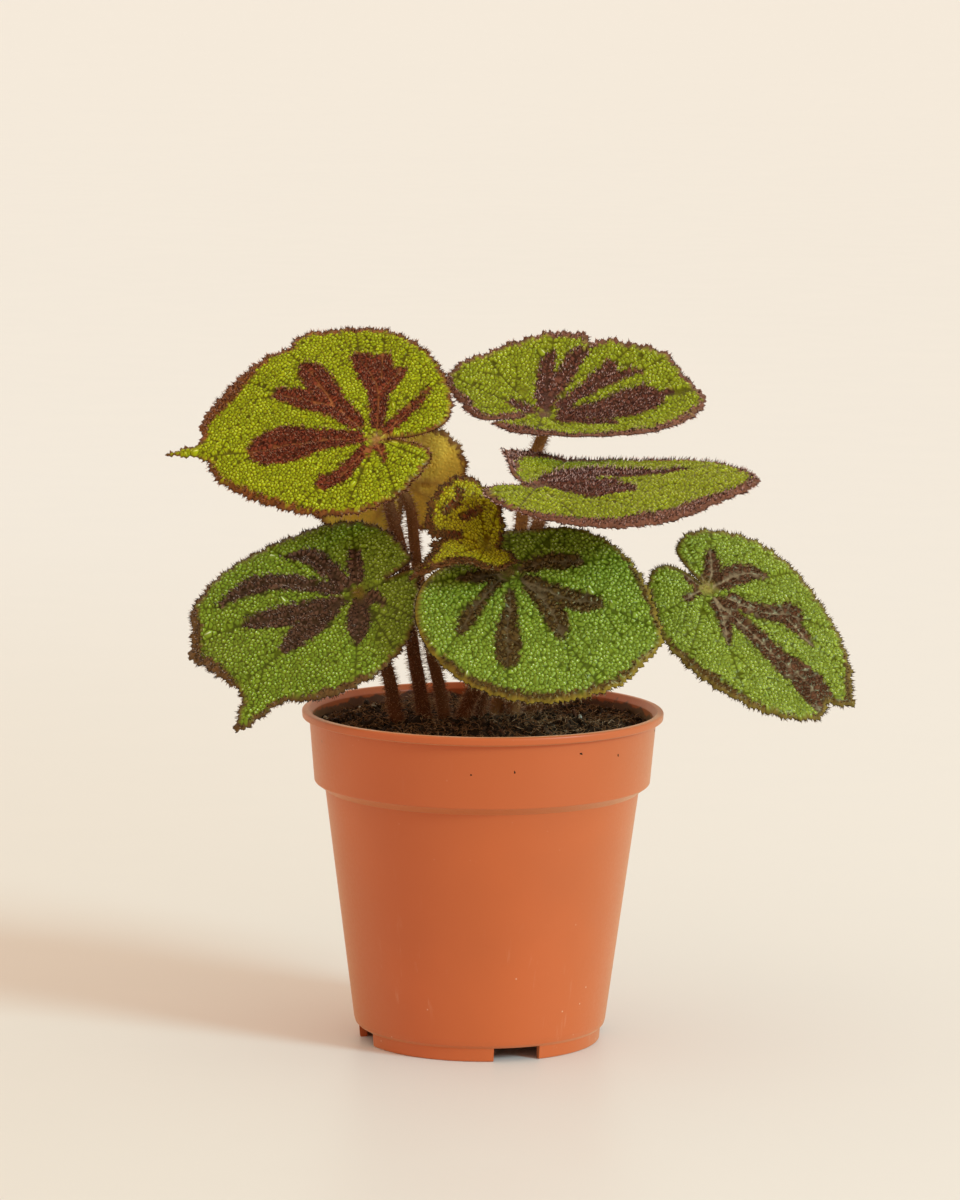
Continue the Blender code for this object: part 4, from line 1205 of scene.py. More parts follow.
def dress(nodes, shader, colour, roughness, specular, height, strength, distance):
    """Fills a shader. Its gloss level is the same all over, so it stands on the shader's own socket."""
    nodes.put(shader.inputs["Base Color"], colour)
    nodes.put(shader.inputs["Roughness"], roughness)
    shader.inputs["Specular IOR Level"].default_value = specular
    bumped = nodes.add("ShaderNodeBump", {"Strength": strength, "Distance": distance, "Height": height})
    nodes.put(shader.inputs["Normal"], bumped.outputs["Normal"])


def dress_grown(nodes, shader, grown, roughness, specular, strength, distance):
    """Fills the shader of something that grew. Roughness is its range over the grain, or a socket."""
    grain = grown.outputs["Grain"]
    if isinstance(roughness, tuple):
        roughness = nodes.span(grain, 0.3, 0.7, *roughness)
    dress(nodes, shader, grown.outputs["Colour"], roughness, specular, grain, strength, distance)


def leaf_top_material(kind, colours, mottle, gloss):
    """The puckered upper side: bumps lighter than the dark valleys between them, with the cross, margin,
    veins and hub. The valleys' darker colours are painted shade and the lighter bump tops painted light; pale
    specks on some tops are painted glints.
    """
    made, nodes, shader = new_material(f"leaf_{kind}_top")
    dome, tone = nodes.value("dome"), nodes.value("tone")
    bump = nodes.span(dome, 0.0, 0.5)
    # Painted glints: pale patches on the tops of some bumps stand in for highlights of the light.
    painted_glint = nodes.times(nodes.span(dome, 0.74, 1.0), nodes.span(tone, 0.35, 0.8))
    # Painted shade and light: the green, the cross and the margin's band each take a darker colour in the
    # valleys between the bumps and a lighter one on their tops.
    green = nodes.mix(bump, colours["low"], colours["high"])
    green = nodes.mix(nodes.times(painted_glint, 0.95), green, colours["painted_glint"])
    dark = nodes.mix(bump, colours["cross"], colours["cross_high"])
    colour = nodes.mix(nodes.value("cross"), green, dark)
    line = nodes.span(nodes.value("vein"), 0.5, 1.0)
    colour = nodes.mix(nodes.times(line, nodes.value("cross")), colour, colours["vein"])
    darker, paler = (tuple(factor * part for part in colours["rim"]) for factor in (0.6, 1.35))
    band = nodes.mix(bump, darker, paler)
    band = nodes.mix(nodes.value("edge"), band, colours["edge"])
    colour = nodes.mix(nodes.value("rim"), colour, band)
    colour = nodes.mix(nodes.value("hub"), colour, colours["hub"])
    factor = nodes.span(tone, 0.0, 1.0, 0.65, 1.35, "LINEAR")
    grown = grouped(nodes, mottle, Colour=nodes.scaled(colour, factor), Patch_Size=55.0, Strength=0.28)
    dress_grown(nodes, shader, grown, (gloss - 0.06, gloss + 0.08), 0.22, 0.35, 0.0001)
    shader.inputs["Specular Tint"].default_value = (1.0, 0.8, 0.4, 1.0)
    return made


def leaf_under_material(kind, colours, mottle):
    """The underside: pale and felty, with brown ribs and margin."""
    made, nodes, shader = new_material(f"leaf_{kind}_under")
    cell = nodes.span(nodes.value("dome"), 0.0, 0.9, 0.92, 1.03)
    colour = nodes.mix(nodes.value("furrow"), nodes.scaled(colours["under"], cell), colours["under_vein"])
    colour = nodes.mix(nodes.times(nodes.value("cross"), 0.35), colour, colours["under_vein"])
    colour = nodes.mix(nodes.value("rim"), colour, colours["rim"])
    grown = grouped(nodes, mottle, Colour=colour, Patch_Size=150.0, Strength=0.55)
    dress_grown(nodes, shader, grown, (0.55, 0.75), 0.2, 0.5, 0.0002)
    return made


def hair_material(name, dark, pale, plain=None):
    """Dark hairs with pale tips. Hairs off the cross and the margin take the plain colour, if given."""
    made, nodes, shader = new_material(name)
    shade = nodes.noise(900.0, 1.0)
    reach = nodes.times(nodes.span(nodes.value("tip"), 0.05, 0.6), nodes.span(shade, 0.45, 0.58))
    colour = nodes.mix(reach, dark, pale)
    if plain:
        colour = nodes.mix(nodes.value("shade"), plain, colour)
    nodes.put(shader.inputs["Base Color"], colour)
    nodes.put(shader.inputs["Roughness"], nodes.span(shade, 0.3, 0.7, 0.5, 0.7))
    shader.inputs["Specular IOR Level"].default_value = 0.08
    return made


HAIR_COLOURS = {
    "young": ((0.045, 0.007, 0.004), (0.46, 0.20, 0.12), (0.13, 0.10, 0.010)),
    "middle": ((0.035, 0.008, 0.006), (0.70, 0.40, 0.34), (0.15, 0.12, 0.02)),
    "old": ((0.022, 0.008, 0.004), (0.42, 0.28, 0.22), (0.12, 0.11, 0.02)),
    "worn": ((0.028, 0.012, 0.003), (0.30, 0.21, 0.11), (0.12, 0.11, 0.02)),
    "ripe": ((0.035, 0.013, 0.004), (0.20, 0.12, 0.05), (0.15, 0.14, 0.025)),
    "folded": ((0.035, 0.014, 0.004), (0.20, 0.11, 0.025), (0.10, 0.06, 0.008)),
    "pale": ((0.16, 0.06, 0.02), (0.45, 0.30, 0.10), (0.42, 0.30, 0.08)),
}


# Property groups

def length_field(name, description, millimetres):
    return FloatProperty(name=name, description=description, default=millimetres * MM, min=0.0, unit="LENGTH")


def share_field(name, description, value):
    return FloatProperty(
        name=name, description=description, default=value, min=0.0, max=1.0, subtype="FACTOR")


def number_field(name, description, value):
    return FloatProperty(name=name, description=description, default=value, min=0.0)


def colour_field(name, description, value):
    return FloatVectorProperty(
        name=name, description=description, default=value, size=3, min=0.0, max=1.0, subtype="COLOR")


class BegoniaLeafLook(bpy.types.PropertyGroup):
    """Sizes of the leaves' surface and hairs."""
    bump_height: length_field("Bump Height", "How far each bump stands up from the valleys round it", 0.75)
    tooth_depth: length_field("Tooth Depth", "Depth of the fine teeth along the margin", 1.1)
    rib_height: length_field("Rib Height", "How far the main veins stand out below, at the hub", 0.9)
    bristle_length: length_field("Bristle Length", "Length of the bristle on each bump", 0.95)
    bristle_share: share_field("Bristle Share", "Share of the bumps that carry a bristle", 0.9)
    fringe_length: length_field("Fringe Length", "Length of the hairs along the margin", 1.35)
    hair_width: length_field("Hair Width", "Width of a hair at its root", 0.3)
    gloss: share_field("Roughness", "Roughness of the upper side", 0.28)


class BegoniaStalkLook(bpy.types.PropertyGroup):
    """Sizes and colours of the stalks."""
    foot_radius: length_field("Foot Radius", "Radius of a stalk at the rhizome", 2.3)
    top_radius: length_field("Top Radius", "Radius of a stalk under its blade", 1.7)
    hair_length: length_field("Hair Length", "Length of the stalks' hairs", 2.1)
    hair_density: number_field("Hair Density", "Hairs for each square metre of stalk", 2.3e6)
    colour: colour_field("Colour", "Colour of the stalks' skin", (0.125, 0.034, 0.010))


class BegoniaSoilLook(bpy.types.PropertyGroup):
    """Sizes and colours of the peat."""
    crumb_density: number_field("Crumb Density", "Crumbs for each square metre of soil", 1.6e5)
    fibre_density: number_field("Fibre Density", "Fibres for each square metre of soil", 1.1e5)
    colour: colour_field("Colour", "Colour of the damp peat", (0.030, 0.015, 0.007))


class BegoniaPotLook(bpy.types.PropertyGroup):
    """Sizes and colours of the pot."""
    sides: IntProperty(name="Sides", description="Segments round the pot", default=160, min=24, max=512)
    colour: colour_field("Colour", "Colour of the plastic", (0.52, 0.098, 0.019))
    roughness: share_field("Roughness", "Roughness of the satin plastic", 0.42)


class BegoniaStageLook(bpy.types.PropertyGroup):
    """Light and floor of the studio."""
    key_strength: number_field("Key Strength", "Strength of the key light", 2.35)
    fill_strength: number_field("Fill Strength", "Strength of the light from all round", 0.98)
    floor_colour: colour_field("Floor Colour", "Colour of the floor", (0.735, 0.708, 0.668))


# Operators

def get_tree(name, builder):
    return bpy.data.node_groups.get(name) or builder()


class BEGONIA_OT_leaves(bpy.types.Operator):
    """Makes the eight blades with their hairs"""
    bl_idname = "begonia.leaves"
    bl_label = "Leaves"

    def execute(self, context):
        look = context.scene.begonia_leaf
        mottle = get_tree("grown_mottle", mottle_group)
        hair_tree = get_tree("placed_hairs", placed_hair_tree)
        finishes = {}
        for kind, colours in LEAF_COLOURS.items():
            finishes[kind] = (
                leaf_top_material(kind, colours, mottle, look.gloss),
                leaf_under_material(kind, colours, mottle),
                hair_material(f"leaf_{kind}_hairs", *HAIR_COLOURS[kind]),
            )
        for name, leaf in LEAVES.items():
            top, under, hair = finishes[leaf["look"]]
            blade, surface = leaf_sheet(f"leaf_{name}", leaf, look, (top, under))
            slot = SLOTS.get(leaf["look"], "blade_green")
            finish_piece(blade, slot, f"blade_{name}")
            finish_piece(leaf_hairs(name, surface, look, hair_tree, hair), slot)
        return {"FINISHED"}


def stalk_material(mottle, colour):
    """Red-brown skin with a fine grain, paler towards the blade."""
    made, nodes, shader = new_material("stalk_skin")
    top = nodes.mix(nodes.value("warmth"), colour, (0.50, 0.26, 0.085))
    grown = grouped(nodes, mottle, Colour=top, Patch_Size=180.0, Strength=0.5)
    dress_grown(nodes, shader, grown, (0.6, 0.8), 0.15, 0.6, 0.0002)
    return made


STALK_WARMTH = {
    "upper_right": (0.55, 0.9), "middle_right": (0.25, 0.5), "lower_right": (0.1, 0.3),
    "behind_left": (0.1, 0.35),
}


class BEGONIA_OT_stalks(bpy.types.Operator):
    """Makes the eight hairy stalks"""
    bl_idname = "begonia.stalks"
    bl_label = "Stalks"

    def execute(self, context):
        look = context.scene.begonia_stalk
        mottle = get_tree("grown_mottle", mottle_group)
        tree = get_tree("scattered_hairs", scattered_hair_tree)
        skin = stalk_material(mottle, tuple(look.colour))
        hair = hair_material("stalk_hairs", (0.26, 0.10, 0.04), (0.66, 0.40, 0.24))
        for number, (name, leaf) in enumerate(LEAVES.items()):
            normal = plane_axes(leaf["face"])[2]
            hub = np.array(leaf["hub"], float)
            route = (*leaf["route"], hub - normal * STALK_STRAIGHT, hub - normal * STALK_SEAT)
            line = smooth_route(route, 10)
            scale = STALK_SCALE.get(name, 1.0)
            share = np.linspace(0, 1, len(line))
            radii = (look.foot_radius * (1 - share) + look.top_radius * share) / MM * scale
            draw = np.random.default_rng(40 + number)
            ripple = 1 + 0.035 * draw.normal(size=(len(line), STALK_SIDES))
            ripple[-1] = 1.0
            points, faces = rod(line, radii[:, None] * ripple, STALK_SIDES, normal)
            obj = mesh_object(f"stem_{name}", points, faces, (skin,))
            low, high = STALK_WARMTH.get(name, (0.0, 0.15))
            add_values(obj, "warmth", np.repeat(low + (high - low) * share, STALK_SIDES))
            hairs = grow(
                obj, f"hairs_stem_{name}", tree, hair, Density=look.hair_density,
                Width=0.2 * MM, Length=look.hair_length, Seed=number + 3)
            finish_piece(obj, "stalk", f"stalk_{name}")
            finish_piece(hairs, "stalk")
        return {"FINISHED"}


class BEGONIA_OT_rhizome(bpy.types.Operator):
    """Makes the creeping rhizome with its roots"""
    bl_idname = "begonia.rhizome"
    bl_label = "Rhizome"

    def execute(self, context):
        mottle = get_tree("grown_mottle", mottle_group)
        made, nodes, shader = new_material("rhizome_skin")
        grown = grouped(nodes, mottle, Colour=(0.12, 0.05, 0.025, 1.0), Patch_Size=240.0, Strength=0.8)
        dress_grown(nodes, shader, grown, (0.6, 0.85), 0.5, 0.8, 0.0006)
        draw = np.random.default_rng(77)
        line = smooth_route(RHIZOME_ROUTE, 14)
        end = np.minimum(np.arange(len(line)), len(line) - 1 - np.arange(len(line))) / 7
        rounded = np.sqrt(np.clip(1 - np.clip(1 - end, 0, 1) ** 2, 0.1, 1))
        knob = RHIZOME_KNOB * np.sin(2.3 * np.arange(len(line)) / 3.5)
        ripple = 1 + 0.04 * draw.normal(size=(len(line), RHIZOME_SIDES))
        points, faces = rod(line, ((RHIZOME_RADIUS + knob) * rounded)[:, None] * ripple, RHIZOME_SIDES)
        for i, foot in enumerate(ROOT_FEET):
            top = line[3 + i * (len(line) - 8) // (len(ROOT_FEET) - 1)]
            foot = np.array(foot, float)
            middle = 0.5 * (top + foot) + np.array((4 * math.sin(2 * i), 4 * math.cos(3 * i), 6))
            root = smooth_route((top, middle, foot), 12)
            thin = np.linspace(ROOT_RADIUS * 1.3, ROOT_RADIUS * 0.4, len(root))
            more, sides = rod(root, thin, ROOT_SIDES)
            faces = faces + counted_on(sides, len(points))
            points = np.concatenate((points, more))
        obj = mesh_object("rhizome_skin", points, faces, (made,))
        tree = get_tree("scattered_hairs", scattered_hair_tree)
        hair = hair_material("rhizome_hairs", (0.10, 0.05, 0.02), (0.40, 0.24, 0.12))
        hairs = grow(obj, "hairs_rhizome", tree, hair, Density=5e5, Width=0.12 * MM, Length=2.2 * MM, Seed=31)
        finish_piece(obj, "rhizome", "rhizome")
        finish_piece(hairs, "rhizome")
        return {"FINISHED"}


def inner_wall(z):
    """The pot's inner radius at a height."""
    heights = (BODY_FOOT[1], BODY_TOP[1] + WALL, COLLAR_FOOT[1] + WALL, COLLAR_TOP[1])
    outer = (BODY_FOOT[0], BODY_TOP[0], COLLAR_FOOT[0], COLLAR_TOP[0])
    return float(np.interp(z, heights, outer)) - WALL


def rounded_profile(corners):
    """A profile whose corners, given as (radius, height, rounding), become arcs."""
    line = []
    places = [np.array(corner[:2], float) for corner in corners]
    for i, place in enumerate(places):
        radius = corners[i][2]
        if radius <= 0 or i in (0, len(places) - 1):
            line.append(tuple(place))
            continue
        before, after = unit(places[i - 1] - place), unit(places[i + 1] - place)
        half = 0.5 * math.acos(float(np.clip(before.dot(after), -1, 1)))
        run = radius / math.tan(half)
        room = 0.48 * min(np.linalg.norm(places[i - 1] - place), np.linalg.norm(places[i + 1] - place))
        run = min(run, room)
        start, stop = place + before * run, place + after * run
        for t in np.linspace(0, 1, 7):
            line.append(tuple((1 - t) ** 2 * start + 2 * t * (1 - t) * place + t * t * stop))
    return line


def lathe(name, profile, sides, materials):
    """A body turned about the pot's axis. The profile runs from the axis up the outside and back to it."""
    points = [(0.0, 0.0, profile[0][1])]
    for radius, z in profile[1:-1]:
        points += circle(radius, z, sides)
    points.append((0.0, 0.0, profile[-1][1]))
    last = len(points) - 1
    faces = []
    for i in range(sides):
        j = (i + 1) % sides
        faces.append((0, 1 + j, 1 + i))
        faces.append((last, last - sides + i, last - sides + j))
    for ring in range(len(profile) - 3):
        faces += band(1 + ring * sides, 1 + (ring + 1) * sides, sides)
    return mesh_object(name, points, faces, materials)


def around(bearing, radius):
    """A point at a bearing, counted from the viewer's side towards the right."""
    a = math.radians(bearing)
    return np.array((math.sin(a) * radius, -math.cos(a) * radius))


def notch_cutter():
    """Four boxes through the foot ring."""
    points, faces = [], []
    for bearing in NOTCH_BEARINGS:
        start = len(points)
        a = math.radians(bearing)
        across = np.array((math.cos(a), math.sin(a)))
        for z in (-1.0, NOTCH_HEIGHT):
            for radius, half in ((NOTCH_FROM, -0.5), (NOTCH_TO, -0.5), (NOTCH_TO, 0.5), (NOTCH_FROM, 0.5)):
                points.append((*(around(bearing, radius) + across * half * NOTCH_WIDTH), z))
        sides = [(k, (k + 1) % 4, 4 + (k + 1) % 4, 4 + k) for k in range(4)]
        faces += counted_on([(3, 2, 1, 0), (4, 5, 6, 7)] + sides, start)
    return mesh_object("cut_notches", points, faces)


def drain_cutter():
    """Four round rods through the pot's floor."""
    points, faces = np.zeros((0, 3)), []
    for bearing in NOTCH_BEARINGS:
        x, y = around(bearing, DRAIN_FROM_AXIS)
        line = ((x, y, FOOT_HEIGHT - 2), (x, y, FOOT_HEIGHT + WALL + 2))
        more, sides = rod(line, (DRAIN_RADIUS, DRAIN_RADIUS), DRAIN_SIDES)
        faces += counted_on(sides, len(points))
        points = np.concatenate((points, more))
    return mesh_object("cut_drains", points, faces)


def pot_material(look, dust):
    """Satin moulded plastic with dust specks, scuffs, soil stains, and an inner wall above the soil darkened
    partly by soil stain and partly by painted shade.
    """
    made, nodes, shader = new_material("pot_plastic")
    place = nodes.place()
    height = nodes.part(place, "Z")
    cloud = nodes.span(nodes.noise(14.0, 3.0), 0.35, 0.65, 0.95, 1.05)
    base = nodes.scaled(tuple(look.colour), cloud)
    marks = grouped(nodes, dust, Speck_Scale=520.0, Speck_Share=0.03)
    low = nodes.span(height, 0.012, 0.06, 1.0, 0.12)
    specks = nodes.times(marks.outputs["Specks"], low)
    streaks = nodes.times(nodes.times(marks.outputs["Streaks"], low), 0.15)
    pale = nodes.math("MAXIMUM", nodes.times(specks, 0.8), streaks)
    colour = nodes.mix(pale, base, (0.72, 0.48, 0.33))
    soiled = grouped(nodes, dust, Speck_Scale=210.0, Speck_Share=0.03)
    high = nodes.span(height, 0.099, 0.106)
    dark = nodes.times(soiled.outputs["Specks"], nodes.times(high, 0.8))
    colour = nodes.mix(dark, colour, (0.03, 0.016, 0.01))
    # The inner wall just above the soil darkens in patches, more towards the soil: partly soil stain, partly
    # painted shade.
    flat = nodes.vector("MULTIPLY", nodes.vector("ADD", place, tuple(-AXIS * MM)), (1.0, 1.0, 0.0))
    from_axis = nodes.add("ShaderNodeVectorMath", {0: flat}, operation="LENGTH").outputs["Value"]
    inside = nodes.times(nodes.span(from_axis, 0.0572, 0.0568), nodes.span(height, 0.1042, 0.1048))
    patch = nodes.plus(nodes.noise(160.0, 3.0), nodes.span(height, 0.1045, 0.1095, 0.35, -0.15))
    stained_and_shaded_wall = nodes.times(inside, nodes.span(patch, 0.45, 0.6))
    colour = nodes.mix(nodes.times(stained_and_shaded_wall, 0.85), colour, (0.045, 0.018, 0.009))
    grain = nodes.noise(900.0, 2.0)
    rough = nodes.span(grain, 0.3, 0.7, look.roughness - 0.03, look.roughness + 0.04)
    rough = nodes.plus(rough, nodes.times(pale, 0.25))
    wave = nodes.plus(nodes.noise(45.0, 1.0), nodes.times(grain, 0.05))
    dress(nodes, shader, colour, rough, 0.42, wave, 0.25, 0.0004)
    shader.inputs["Sheen Weight"].default_value = 0.26
    shader.inputs["Sheen Roughness"].default_value = 0.55
    shader.inputs["Sheen Tint"].default_value = (1.0, 0.92, 0.5, 1.0)
    return made


class BEGONIA_OT_pot(bpy.types.Operator):
    """Makes the moulded pot with its rolled lip, collar, notched foot and drain holes"""
    bl_idname = "begonia.pot"
    bl_label = "Pot"

    def execute(self, context):
        look = context.scene.begonia_pot
        floor_top = FOOT_HEIGHT + WALL
        corners = (
            (0, FOOT_HEIGHT, 0),
            (FOOT_RADIUS - FOOT_WIDTH, FOOT_HEIGHT, 0.5),
            (FOOT_RADIUS - FOOT_WIDTH, 0, 0.4),
            (FOOT_RADIUS, 0, 0.7),
            (FOOT_RADIUS + 0.4, FOOT_HEIGHT, 0.3),
            (BODY_FOOT[0] - 0.4, BODY_FOOT[1] - 1.6, 1.0),
            (*BODY_FOOT, 1.6),
            (*BODY_TOP, 0.5),
            (*COLLAR_FOOT, 0.9),
            (COLLAR_TOP[0], LIP_FOOT, 0.6),
            (LIP_RADIUS - 0.2, LIP_FOOT + 0.5, 0.5),
            (LIP_RADIUS, POT_HEIGHT - 0.1, 0.9),
            (LIP_RADIUS - 2.2, POT_HEIGHT, 0.8),
            (inner_wall(COLLAR_TOP[1]), LIP_FOOT + 1.2, 0.9),
            (inner_wall(COLLAR_TOP[1]), COLLAR_TOP[1], 0),
            (inner_wall(COLLAR_FOOT[1] + WALL), COLLAR_FOOT[1] + WALL, 0.8),
            (inner_wall(BODY_TOP[1] + WALL), BODY_TOP[1] + WALL, 0.8),
            (inner_wall(BODY_FOOT[1]), BODY_FOOT[1], 1.0),
            (inner_wall(BODY_FOOT[1]) - 1.4, floor_top, 0.8),
            (0, floor_top, 0),
        )
        dust = get_tree("dust_and_scuffs", dust_group)
        obj = lathe("pot_body", rounded_profile(corners), look.sides, (pot_material(look, dust),))
        for cutter in (notch_cutter(), drain_cutter()):
            boolean = obj.modifiers.new("cut", "BOOLEAN")
            boolean.operation = "DIFFERENCE"
            boolean.solver = "EXACT"
            boolean.object = cutter
            evaluated(obj)
            bpy.data.objects.remove(cutter, do_unlink=True)
        obj.data.set_sharp_from_angle(angle=math.radians(40))
        finish_piece(obj, "pot_plastic", "pot")
        return {"FINISHED"}


def soil_material(name, colour, pale, mottle):
    made, nodes, shader = new_material(name)
    fleck = nodes.add("ShaderNodeTexVoronoi", {"Vector": nodes.place(), "Scale": 900.0})
    parts = nodes.add("ShaderNodeSeparateColor", {"Color": fleck.outputs["Color"]})
    chosen = nodes.span(parts.outputs["Red"], 0.80, 0.98)
    mixed = nodes.mix(chosen, colour, pale)
    grown = grouped(nodes, mottle, Colour=mixed, Patch_Size=120.0, Strength=0.9)
    roughness = nodes.span(parts.outputs["Green"], 0.0, 1.0, 0.6, 0.95)
    dress_grown(nodes, shader, grown, roughness, 0.1, 0.9, 0.0006)
    return made


def soil_mesh(finish):
    """The root ball, with a finely broken top."""
    draw = np.random.default_rng(12)
    edge_radius = inner_wall(SOIL_EDGE_Z) - SOIL_CLEARANCE
    flat = lattice(edge_radius, SOIL_PITCH)
    flat = flat + draw.uniform(-0.2, 0.2, flat.shape)
    flat = flat[np.hypot(*flat.T) < edge_radius - 0.8]
    turns = np.arange(SOIL_SIDES) * math.tau / SOIL_SIDES
    directions = np.stack((np.cos(turns), np.sin(turns)), axis=1)
    rim = edge_radius * directions
    top = np.concatenate((rim, flat))
    triangles = triangulate(rim, flat)
    x, y = top.T
    share = np.hypot(x, y) / edge_radius
    z = SOIL_EDGE_Z + SOIL_MOUND * (1 - share ** 2) - 0.9
    for count, pitches, size in SOIL_WAVES:
        waves = np.zeros(len(x))
        for _ in range(count):
            angle = draw.uniform(0, math.tau)
            length = draw.uniform(*pitches)
            phase = draw.uniform(0, math.tau)
            waves += np.sin(math.tau * (x * math.cos(angle) + y * math.sin(angle)) / length + phase)
        z += size * waves / math.sqrt(count) * np.clip(6 * (1 - share), 0.25, 1)
    points = np.column_stack((x, y, z))
    faces = [tuple(t) for t in triangles]
    low = FOOT_HEIGHT + WALL + 0.3
    levels = (
        (inner_wall(COLLAR_FOOT[1] + WALL), COLLAR_FOOT[1] + WALL + 0.9),
        (inner_wall(BODY_TOP[1]), BODY_TOP[1] + WALL - 0.3),
        (inner_wall(BODY_FOOT[1]), BODY_FOOT[1] + 0.2),
        (inner_wall(BODY_FOOT[1]) - 1.6, low),
    )
    above = np.arange(SOIL_SIDES)
    for radius, height in levels:
        ring = (radius - SOIL_CLEARANCE) * directions
        start = len(points)
        points = np.concatenate((points, np.column_stack((ring, np.full(SOIL_SIDES, height)))))
        below = start + np.arange(SOIL_SIDES)
        for k in range(SOIL_SIDES):
            m = (k + 1) % SOIL_SIDES
            faces.append((above[k], below[k], below[m], above[m]))
        above = below
    faces.append(tuple(above[::-1]))
    obj = mesh_object("soil_peat", points, faces, (finish,))
    add_values(obj, "open", soft_step(edge_radius - np.hypot(points[:, 0], points[:, 1]), 2.5, 7.0))
    return obj


class BEGONIA_OT_soil(bpy.types.Operator):
    """Makes the peat with its crumbs, fibres and bits of bark and grit"""
    bl_idname = "begonia.soil"
    bl_label = "Soil"

    def execute(self, context):
        look = context.scene.begonia_soil
        mottle = get_tree("grown_mottle", mottle_group)
        crumbs, fibres = get_tree("scattered_crumbs", crumb_tree), get_tree("scattered_fibres", fibre_tree)
        dark = tuple(look.colour)
        peat = soil_material("peat", dark, (0.10, 0.055, 0.03), mottle)
        obj = soil_mesh(peat)
        grit = soil_material("grit", (0.42, 0.38, 0.30), (0.62, 0.58, 0.50), mottle)
        bark = soil_material("bark", (0.085, 0.035, 0.018), (0.20, 0.10, 0.05), mottle)
        fibre = soil_material("fibre", (0.26, 0.13, 0.055), (0.60, 0.40, 0.24), mottle)
        loose = (
            grow(obj, "soil_crumbs", crumbs, peat, Density=look.crumb_density, Smallest=0.35 * MM,
                 Largest=1.9 * MM, Seed=2),
            grow(obj, "soil_bark", crumbs, bark, Density=1.7e4, Smallest=0.5 * MM, Largest=2.0 * MM, Seed=9),
            grow(obj, "soil_grit", crumbs, grit, Density=4.5e3, Smallest=0.3 * MM, Largest=1.5 * MM, Seed=21),
            grow(obj, "soil_fibres", fibres, fibre, Density=look.fibre_density, Width=0.10 * MM,
                 Length=7.0 * MM, Curl=4.6 * MM, Seed=6),
        )
        finish_piece(obj, "soil", "soil")
        for piece in loose:
            finish_piece(piece, "soil")
        return {"FINISHED"}


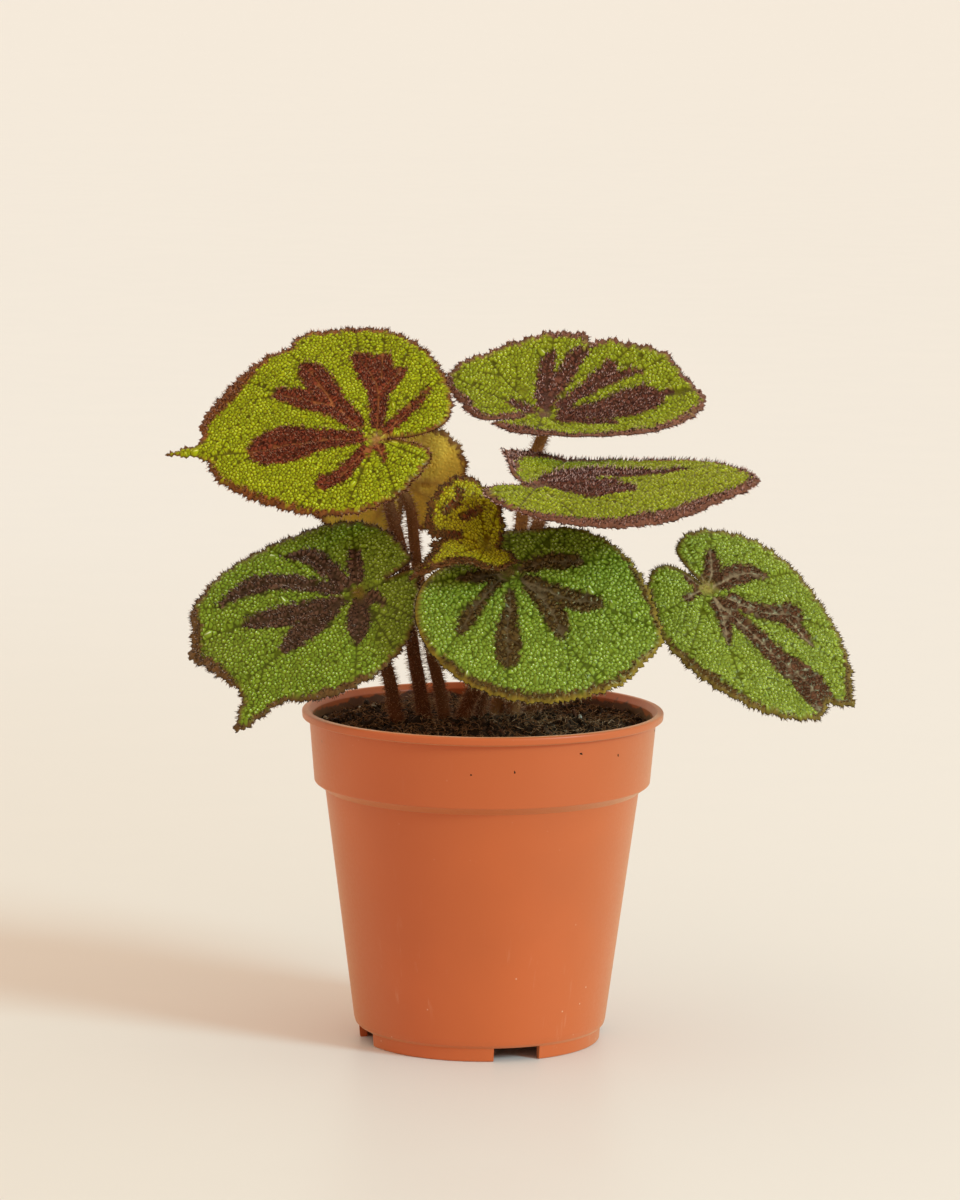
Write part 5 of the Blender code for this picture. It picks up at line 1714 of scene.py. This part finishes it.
class BEGONIA_OT_stage(bpy.types.Operator):
    """Makes the camera, the floor and the lights"""
    bl_idname = "begonia.stage"
    bl_label = "Studio"

    def execute(self, context):
        look = context.scene.begonia_stage
        scene = context.scene
        pitch, roll = math.radians(CAMERA_PITCH), math.radians(CAMERA_ROLL)
        right = Vector((1, 0, 0))
        up = Vector((0, math.sin(pitch), math.cos(pitch)))
        forward = Vector((0, math.cos(pitch), -math.sin(pitch)))
        across = right * math.cos(roll) + up * math.sin(roll)
        upward = up * math.cos(roll) - right * math.sin(roll)
        lens = bpy.data.cameras.new("camera")
        lens.lens = CAMERA_LENS
        lens.sensor_width = 36.0
        lens.clip_start, lens.clip_end = 0.05, FAR_CLIP
        camera = bpy.data.objects.new("camera", lens)
        scene.collection.objects.link(camera)
        matrix = Matrix((across, upward, -forward)).transposed().to_4x4()
        matrix.translation = Vector(to_frame(CAMERA_PLACE))
        camera.matrix_world = matrix
        scene.camera = camera

        points, faces = [(0.0, 0.0, 0.0)], []
        for radius in FLOOR_RADII:
            points += circle(radius, 0.0, FLOOR_SIDES)
        for k in range(FLOOR_SIDES):
            m = (k + 1) % FLOOR_SIDES
            faces.append((0, 1 + k, 1 + m))
            for ring in range(len(FLOOR_RADII) - 1):
                low, high = 1 + ring * FLOOR_SIDES, 1 + (ring + 1) * FLOOR_SIDES
                faces.append((low + k, high + k, high + m, low + m))
        made, nodes, shader = new_material("studio_floor")
        colour = tuple(look.floor_colour)
        cloud = nodes.span(nodes.noise(3.0, 2.0), 0.3, 0.7, 0.998, 1.002)
        # Painted light: the floor turns paler towards the right, the key light's side, and far behind.
        behind = nodes.span(nodes.part(nodes.place(), "Y"), 0.0, 1.6)
        rightwards = nodes.span(nodes.part(nodes.place(), "X"), -0.3, 0.3)
        paler = nodes.mix(behind, nodes.mix(rightwards, colour, FLOOR_RIGHT), FLOOR_BEHIND)
        nodes.put(shader.inputs["Base Color"], nodes.scaled(paler, cloud))
        nodes.put(shader.inputs["Roughness"], nodes.span(nodes.noise(20.0, 2.0), 0.3, 0.7, 0.38, 0.42))
        shader.inputs["Specular IOR Level"].default_value = 0.12
        floor = mesh_object("studio_floor", points, faces, (made,))

        world = bpy.data.worlds.new("studio")
        world.use_nodes = True
        background = world.node_tree.nodes["Background"]
        background.inputs["Color"].default_value = (*FILL_COLOUR, 1.0)
        background.inputs["Strength"].default_value = look.fill_strength
        scene.world = world
        key = bpy.data.lights.new("key", "SUN")
        key.energy = look.key_strength
        key.angle = math.radians(KEY_ANGLE)
        key.color = KEY_COLOUR
        sun = bpy.data.objects.new("key", key)
        sun.rotation_euler = Vector(KEY_DIRECTION).to_track_quat("-Z", "Y").to_euler()
        scene.collection.objects.link(sun)
        scene.view_settings.view_transform = "Standard"
        return {"FINISHED"}


class BEGONIA_PT_panel(bpy.types.Panel):
    """Lists the pieces of the begonia"""
    bl_idname = "BEGONIA_PT_panel"
    bl_label = "Potted Begonia"
    bl_space_type = "VIEW_3D"
    bl_region_type = "UI"
    bl_category = "Begonia"

    def draw(self, context):
        layout = self.layout
        for operator in OPERATORS:
            layout.operator(operator.bl_idname)


OPERATORS = (
    BEGONIA_OT_stage, BEGONIA_OT_pot, BEGONIA_OT_soil,
    BEGONIA_OT_rhizome, BEGONIA_OT_stalks, BEGONIA_OT_leaves,
)
LOOKS = {
    "begonia_leaf": BegoniaLeafLook,
    "begonia_stalk": BegoniaStalkLook,
    "begonia_soil": BegoniaSoilLook,
    "begonia_pot": BegoniaPotLook,
    "begonia_stage": BegoniaStageLook,
}


def register():
    for group in LOOKS.values():
        bpy.utils.register_class(group)
    for label, group in LOOKS.items():
        setattr(bpy.types.Scene, label, PointerProperty(type=group))
    for made in (*OPERATORS, BEGONIA_PT_panel):
        bpy.utils.register_class(made)


def unregister():
    for made in (BEGONIA_PT_panel, *reversed(OPERATORS)):
        bpy.utils.unregister_class(made)
    for label, group in LOOKS.items():
        delattr(bpy.types.Scene, label)
        bpy.utils.unregister_class(group)


def main():
    register()
    bpy.ops.begonia.stage()
    bpy.ops.begonia.pot()
    bpy.ops.begonia.soil()
    bpy.ops.begonia.rhizome()
    bpy.ops.begonia.stalks()
    bpy.ops.begonia.leaves()
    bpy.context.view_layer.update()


if __name__ == "__main__":
    main()
